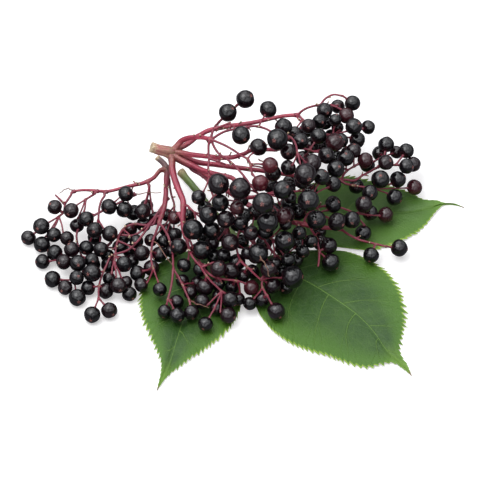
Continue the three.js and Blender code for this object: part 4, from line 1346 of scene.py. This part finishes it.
def makeLeafStalkSkin():
    material, t, shader = newMaterial("leaf stalk")
    look = leafStalkLook
    place = t.place()
    clouds = useGroup(t, mottling, Vector=place, Size=look["mottle"])
    around, run = t.marks("around run")
    lines = useGroup(t, streaks, Around=around, Run=run, Fineness=look["lines"])["Lines"]
    green = t.blend(lines, 0.3, 0.7, look["green"])
    green = t.tint(t.mark("bark"), look["barkAmount"], green, look["bark"])
    wood = t.blend(clouds["Specks"], 0.35, 0.65, look["wood"])
    t.feed(shader.inputs["Base Color"], t.mix(t.mark("cut"), green, wood))
    t.feed(shader.inputs["Roughness"], t.plus(lines, 0.15, 0.4))
    t.feed(shader.inputs["Normal"], t.bump(lines, look["bump"], look["bumpAmount"]))
    return material


# building the bunch

berrySkin, stalkSkin = makeBerrySkin(), makeStalkSkin()
bladeSkin, leafStalkSkin = makeBladeSkin(), makeLeafStalkSkin()
sprayNames = [name for name, twig in twigs.items() if twig["berries"]]
sprayLines = {}
for name in sprayNames:
    twigShape, berryShape = newShape(), newShape()
    sprayLines[name] = buildSpray(name, twigShape)
    for berry in twigs[name]["berries"]:
        addBerry(berryShape, berry)
    makePiece("berries_" + name, berryShape, berrySkin, [name])
    makePiece("twigs_" + name, twigShape, stalkSkin, [name])
print("sprays built")
for name in stalkPaths:
    shape = newShape()
    buildStalk(name, shape)
    makePiece("bare_" + name, shape, stalkSkin, [name])
print("stalks built")

# withered berry stalks that lie over the bunch: the spray each rides with, and its course in mm
dryThreads = [
    ("side_near", [(-32.4, 1.5, 9.5), (-30, -1.4, 10.2), (-27.4, -6, 9.6), (-24.6, -10.6, 8.4)]),
    ("side_heart", [(-41.6, 22.8, 12.4), (-38.6, 20.6, 13), (-34, 21, 13.4), (-29.5, 21.4, 13)]),
    ("spray_front_left", [(-18.5, -25.2, 8), (-15.6, -26.4, 7.6), (-12.4, -27.3, 6.8)]),
    ("spray_deep_front", [(6, -14, 19.5), (8.2, -18.2, 18.6), (9.2, -21, 17)]),
    ("spray_inner_right", [(5.6, 20, 33), (8.4, 16.5, 33.6), (9.6, 13, 33)]),
    ("spray_crown_left", [(-9.8, 32.4, 34), (-7.6, 33.6, 34.6), (-5.4, 33, 34.2), (-4.6, 34.4, 34)]),
    ("side_tip", [(-61.7, 25.4, 9.6), (-63.6, 26.2, 9.8), (-66.4, 24.4, 9)]),
    ("spray_right_front", [(29.6, 2.8, 6), (30.2, -1.6, 5.4), (29.8, -6.2, 4.4)]),
]
threadStyle = {"step": 0.4 * mm, "radius": 0.2 * mm, "around": 7, "ridge": 0.1, "wobble": 0.5 * mm}


def addThreads():
    style = threadStyle
    for number, (spray, points) in enumerate(dryThreads):
        shape = newShape()
        path = smoothPath([np.array(p) * mm for p in points], style["step"])
        share = np.linspace(0, 1, len(path))
        # plain noise on each axis, which gives the same wobble on every run
        wobble = np.array([[noise.noise((s * 4, number, 3.3 + 7 * axis)) for axis in range(3)]
                           for s in share])
        thick = style["radius"] * (1.3 - 0.6 * share)
        addTube(shape, path + wobble * style["wobble"], thick, style["around"], style["ridge"], number,
                ends=("round", "cut"), bark=0.5 + 0.5 * share, knot=1.0, shade=-0.5)
        makePiece("thread_" + str(number), shape, stalkSkin, [spray])


addThreads()
print("withered stalks laid")

# what presses on the leaf
runsToClear = [(line, stalkStyle["ray"]["root"]) for line in stalkPaths.values()]
runsToClear += [(line, twigStyle["radius"]) for lines in sprayLines.values() for line in lines]
leafTwig = twigs["leaf_stalk"]
leafRoot = max(endsOf(leafTwig), key=lambda i: leafTwig["places"][i][1])
leafStalkStyle = {
    "step": 0.6 * mm,
    "radius": 1.3 * mm,
    "taper": 0.35,
    "foot": 0.2 * mm,         # swelling at the cut end
    "footReach": 3 * mm,
    "bark": 3.5 * mm,
    # the short stalk of each leaflet
    "sideStep": 0.4 * mm,
    "sideRadius": 0.62 * mm,
    "sideTip": 0.55,
    "sideFrom": 0.75 * mm,    # heights at the base of the blade and within it
    "sideTo": 0.6 * mm,
}
leafStalkLine = smoothPath(pathsFrom(leafTwig, leafRoot)[0], leafStalkStyle["step"])


def buildLeafStalk():
    style = leafStalkStyle
    shape = newShape()
    share = np.linspace(0, 1, len(leafStalkLine))
    thick = style["radius"] * (1 - style["taper"] * share)
    thick = thick + style["foot"] * fade(leafStalkLine, style["footReach"])
    addTube(shape, leafStalkLine, thick, 20, 0.1, 4.0, ends=("cut", "round"),
            bark=fade(leafStalkLine, style["bark"]))
    for name in leaflets:
        loop = outlineOf(name)
        base = loop[int(np.argmin([nearestOn(leafStalkLine, p)[2] for p in loop]))].copy()
        joint = nearestOn(leafStalkLine, base)[0]
        inner = base + (loop.mean(axis=0) - base) * 0.06
        base[2], inner[2] = style["sideFrom"], style["sideTo"]
        path = smoothPath([joint, base, inner], style["sideStep"])
        addTube(shape, path, style["sideRadius"] * np.linspace(1, style["sideTip"], len(path)), 14, 0.08, 2.0,
                ends=("open", "round"))
    liftOff(shape["verts"])
    return makePiece("leaf_stalk_skin", shape, leafStalkSkin, ["leaf_stalk"])


buildLeafStalk()
for name in leaflets:
    shape = buildBlade(name)
    shape["marks"]["pale"] = [1.0 if name == "leaflet_right" else 0.0] * len(shape["verts"])
    makePiece("blade_" + name, shape, bladeSkin, [name])
    print(name, len(shape["faces"]), "faces")


# floor and light

studio = {
    "floor": 6.0,                        # half its side, in metres
    "paper": ((0.80, 0.80, 0.80), (0.84, 0.84, 0.84)),
    "mirrored": (0.22, 0.22, 0.24),
    "glow": (1, 0.975, 0.975, 1),
    "glowAmount": 0.4,
    "sky": (0.94, 0.965, 1, 1),
    "even": 0.5,                         # light from all around
    "walls": 0.12,
    "roof": 1.75,
    "folds": (0.5, 1.35),
    # where each lamp stands and aims, its width and depth in metres, its power in watts
    "lamps": {
        "overhead tent": ((-0.2, 0.25, 1.25), (0, 0.02, 0), (2.2, 1.8), 13.0),
        "softbox": ((-0.45, 0.0, 1.2), (0, 0, 0), (0.8, 0.7), 6.0),
    },
}


def makeFloor():
    data = bpy.data.meshes.new("floor")
    half = studio["floor"]
    corners = [(-half, -half, 0), (half, -half, 0), (half, half, 0), (-half, half, 0)]
    data.from_pydata(corners, [], [(0, 1, 2, 3)])
    piece = bpy.data.objects.new("floor", data)
    bpy.context.scene.collection.objects.link(piece)
    material, t, shader = newMaterial("white sweep")
    grain = t.noise(t.place(), 900.0, 2.0)
    rays = t.node("ShaderNodeLightPath").outputs
    paper = t.mix(grain, *studio["paper"])
    # mirrored in the skins the sweep is dimmer, as under a lamp kept off the paper
    t.feed(shader.inputs["Base Color"], t.mix(rays["Is Glossy Ray"], paper, studio["mirrored"]))
    shader.inputs["Emission Color"].default_value = studio["glow"]
    t.feed(shader.inputs["Emission Strength"], t.times(rays["Is Camera Ray"], studio["glowAmount"]))
    shader.inputs["Roughness"].default_value = 0.8
    shader.inputs["Specular IOR Level"].default_value = 0.1
    data.materials.append(material)


def addLamp(name, place, aim, size, power):
    lamp = bpy.data.lights.new(name, "AREA")
    lamp.shape = "RECTANGLE"
    lamp.size, lamp.size_y = size
    lamp.energy = power
    holder = bpy.data.objects.new(name, lamp)
    bpy.context.scene.collection.objects.link(holder)
    holder.location = place
    holder.rotation_mode = "QUATERNION"
    holder.rotation_quaternion = (Vector(aim) - Vector(place)).to_track_quat("-Z", "Y")


def makeLight():
    world = bpy.data.worlds.new("studio")
    bpy.context.scene.world = world
    world.use_nodes = True
    t = Tree(world.node_tree)
    rays = t.node("ShaderNodeLightPath").outputs
    way = t.node("ShaderNodeTexCoord").outputs["Generated"]
    up = t.node("ShaderNodeSeparateXYZ", None, Vector=way).outputs[2]
    # a tent: the roof is bright in the skins, the walls are dim
    roof = t.band(up, 0.12, 0.45, studio["walls"], studio["roof"])
    # its cloth hangs in folds, some in shade
    roof = t.times(roof, t.band(t.noise(way, 3.2, 2.0), 0.4, 0.58, *studio["folds"]))
    even = t.times(t.math("SUBTRACT", 1.0, rays["Is Glossy Ray"]), studio["even"])
    strength = t.plus(rays["Is Glossy Ray"], roof, even)
    back = world.node_tree.nodes["Background"]
    back.inputs["Color"].default_value = studio["sky"]
    t.feed(back.inputs["Strength"], strength)
    for name, (place, aim, size, power) in studio["lamps"].items():
        addLamp(name, place, aim, size, power)


makeFloor()
makeLight()
print("floor and lamps set")
bpy.context.scene.view_settings.view_transform = "Standard"
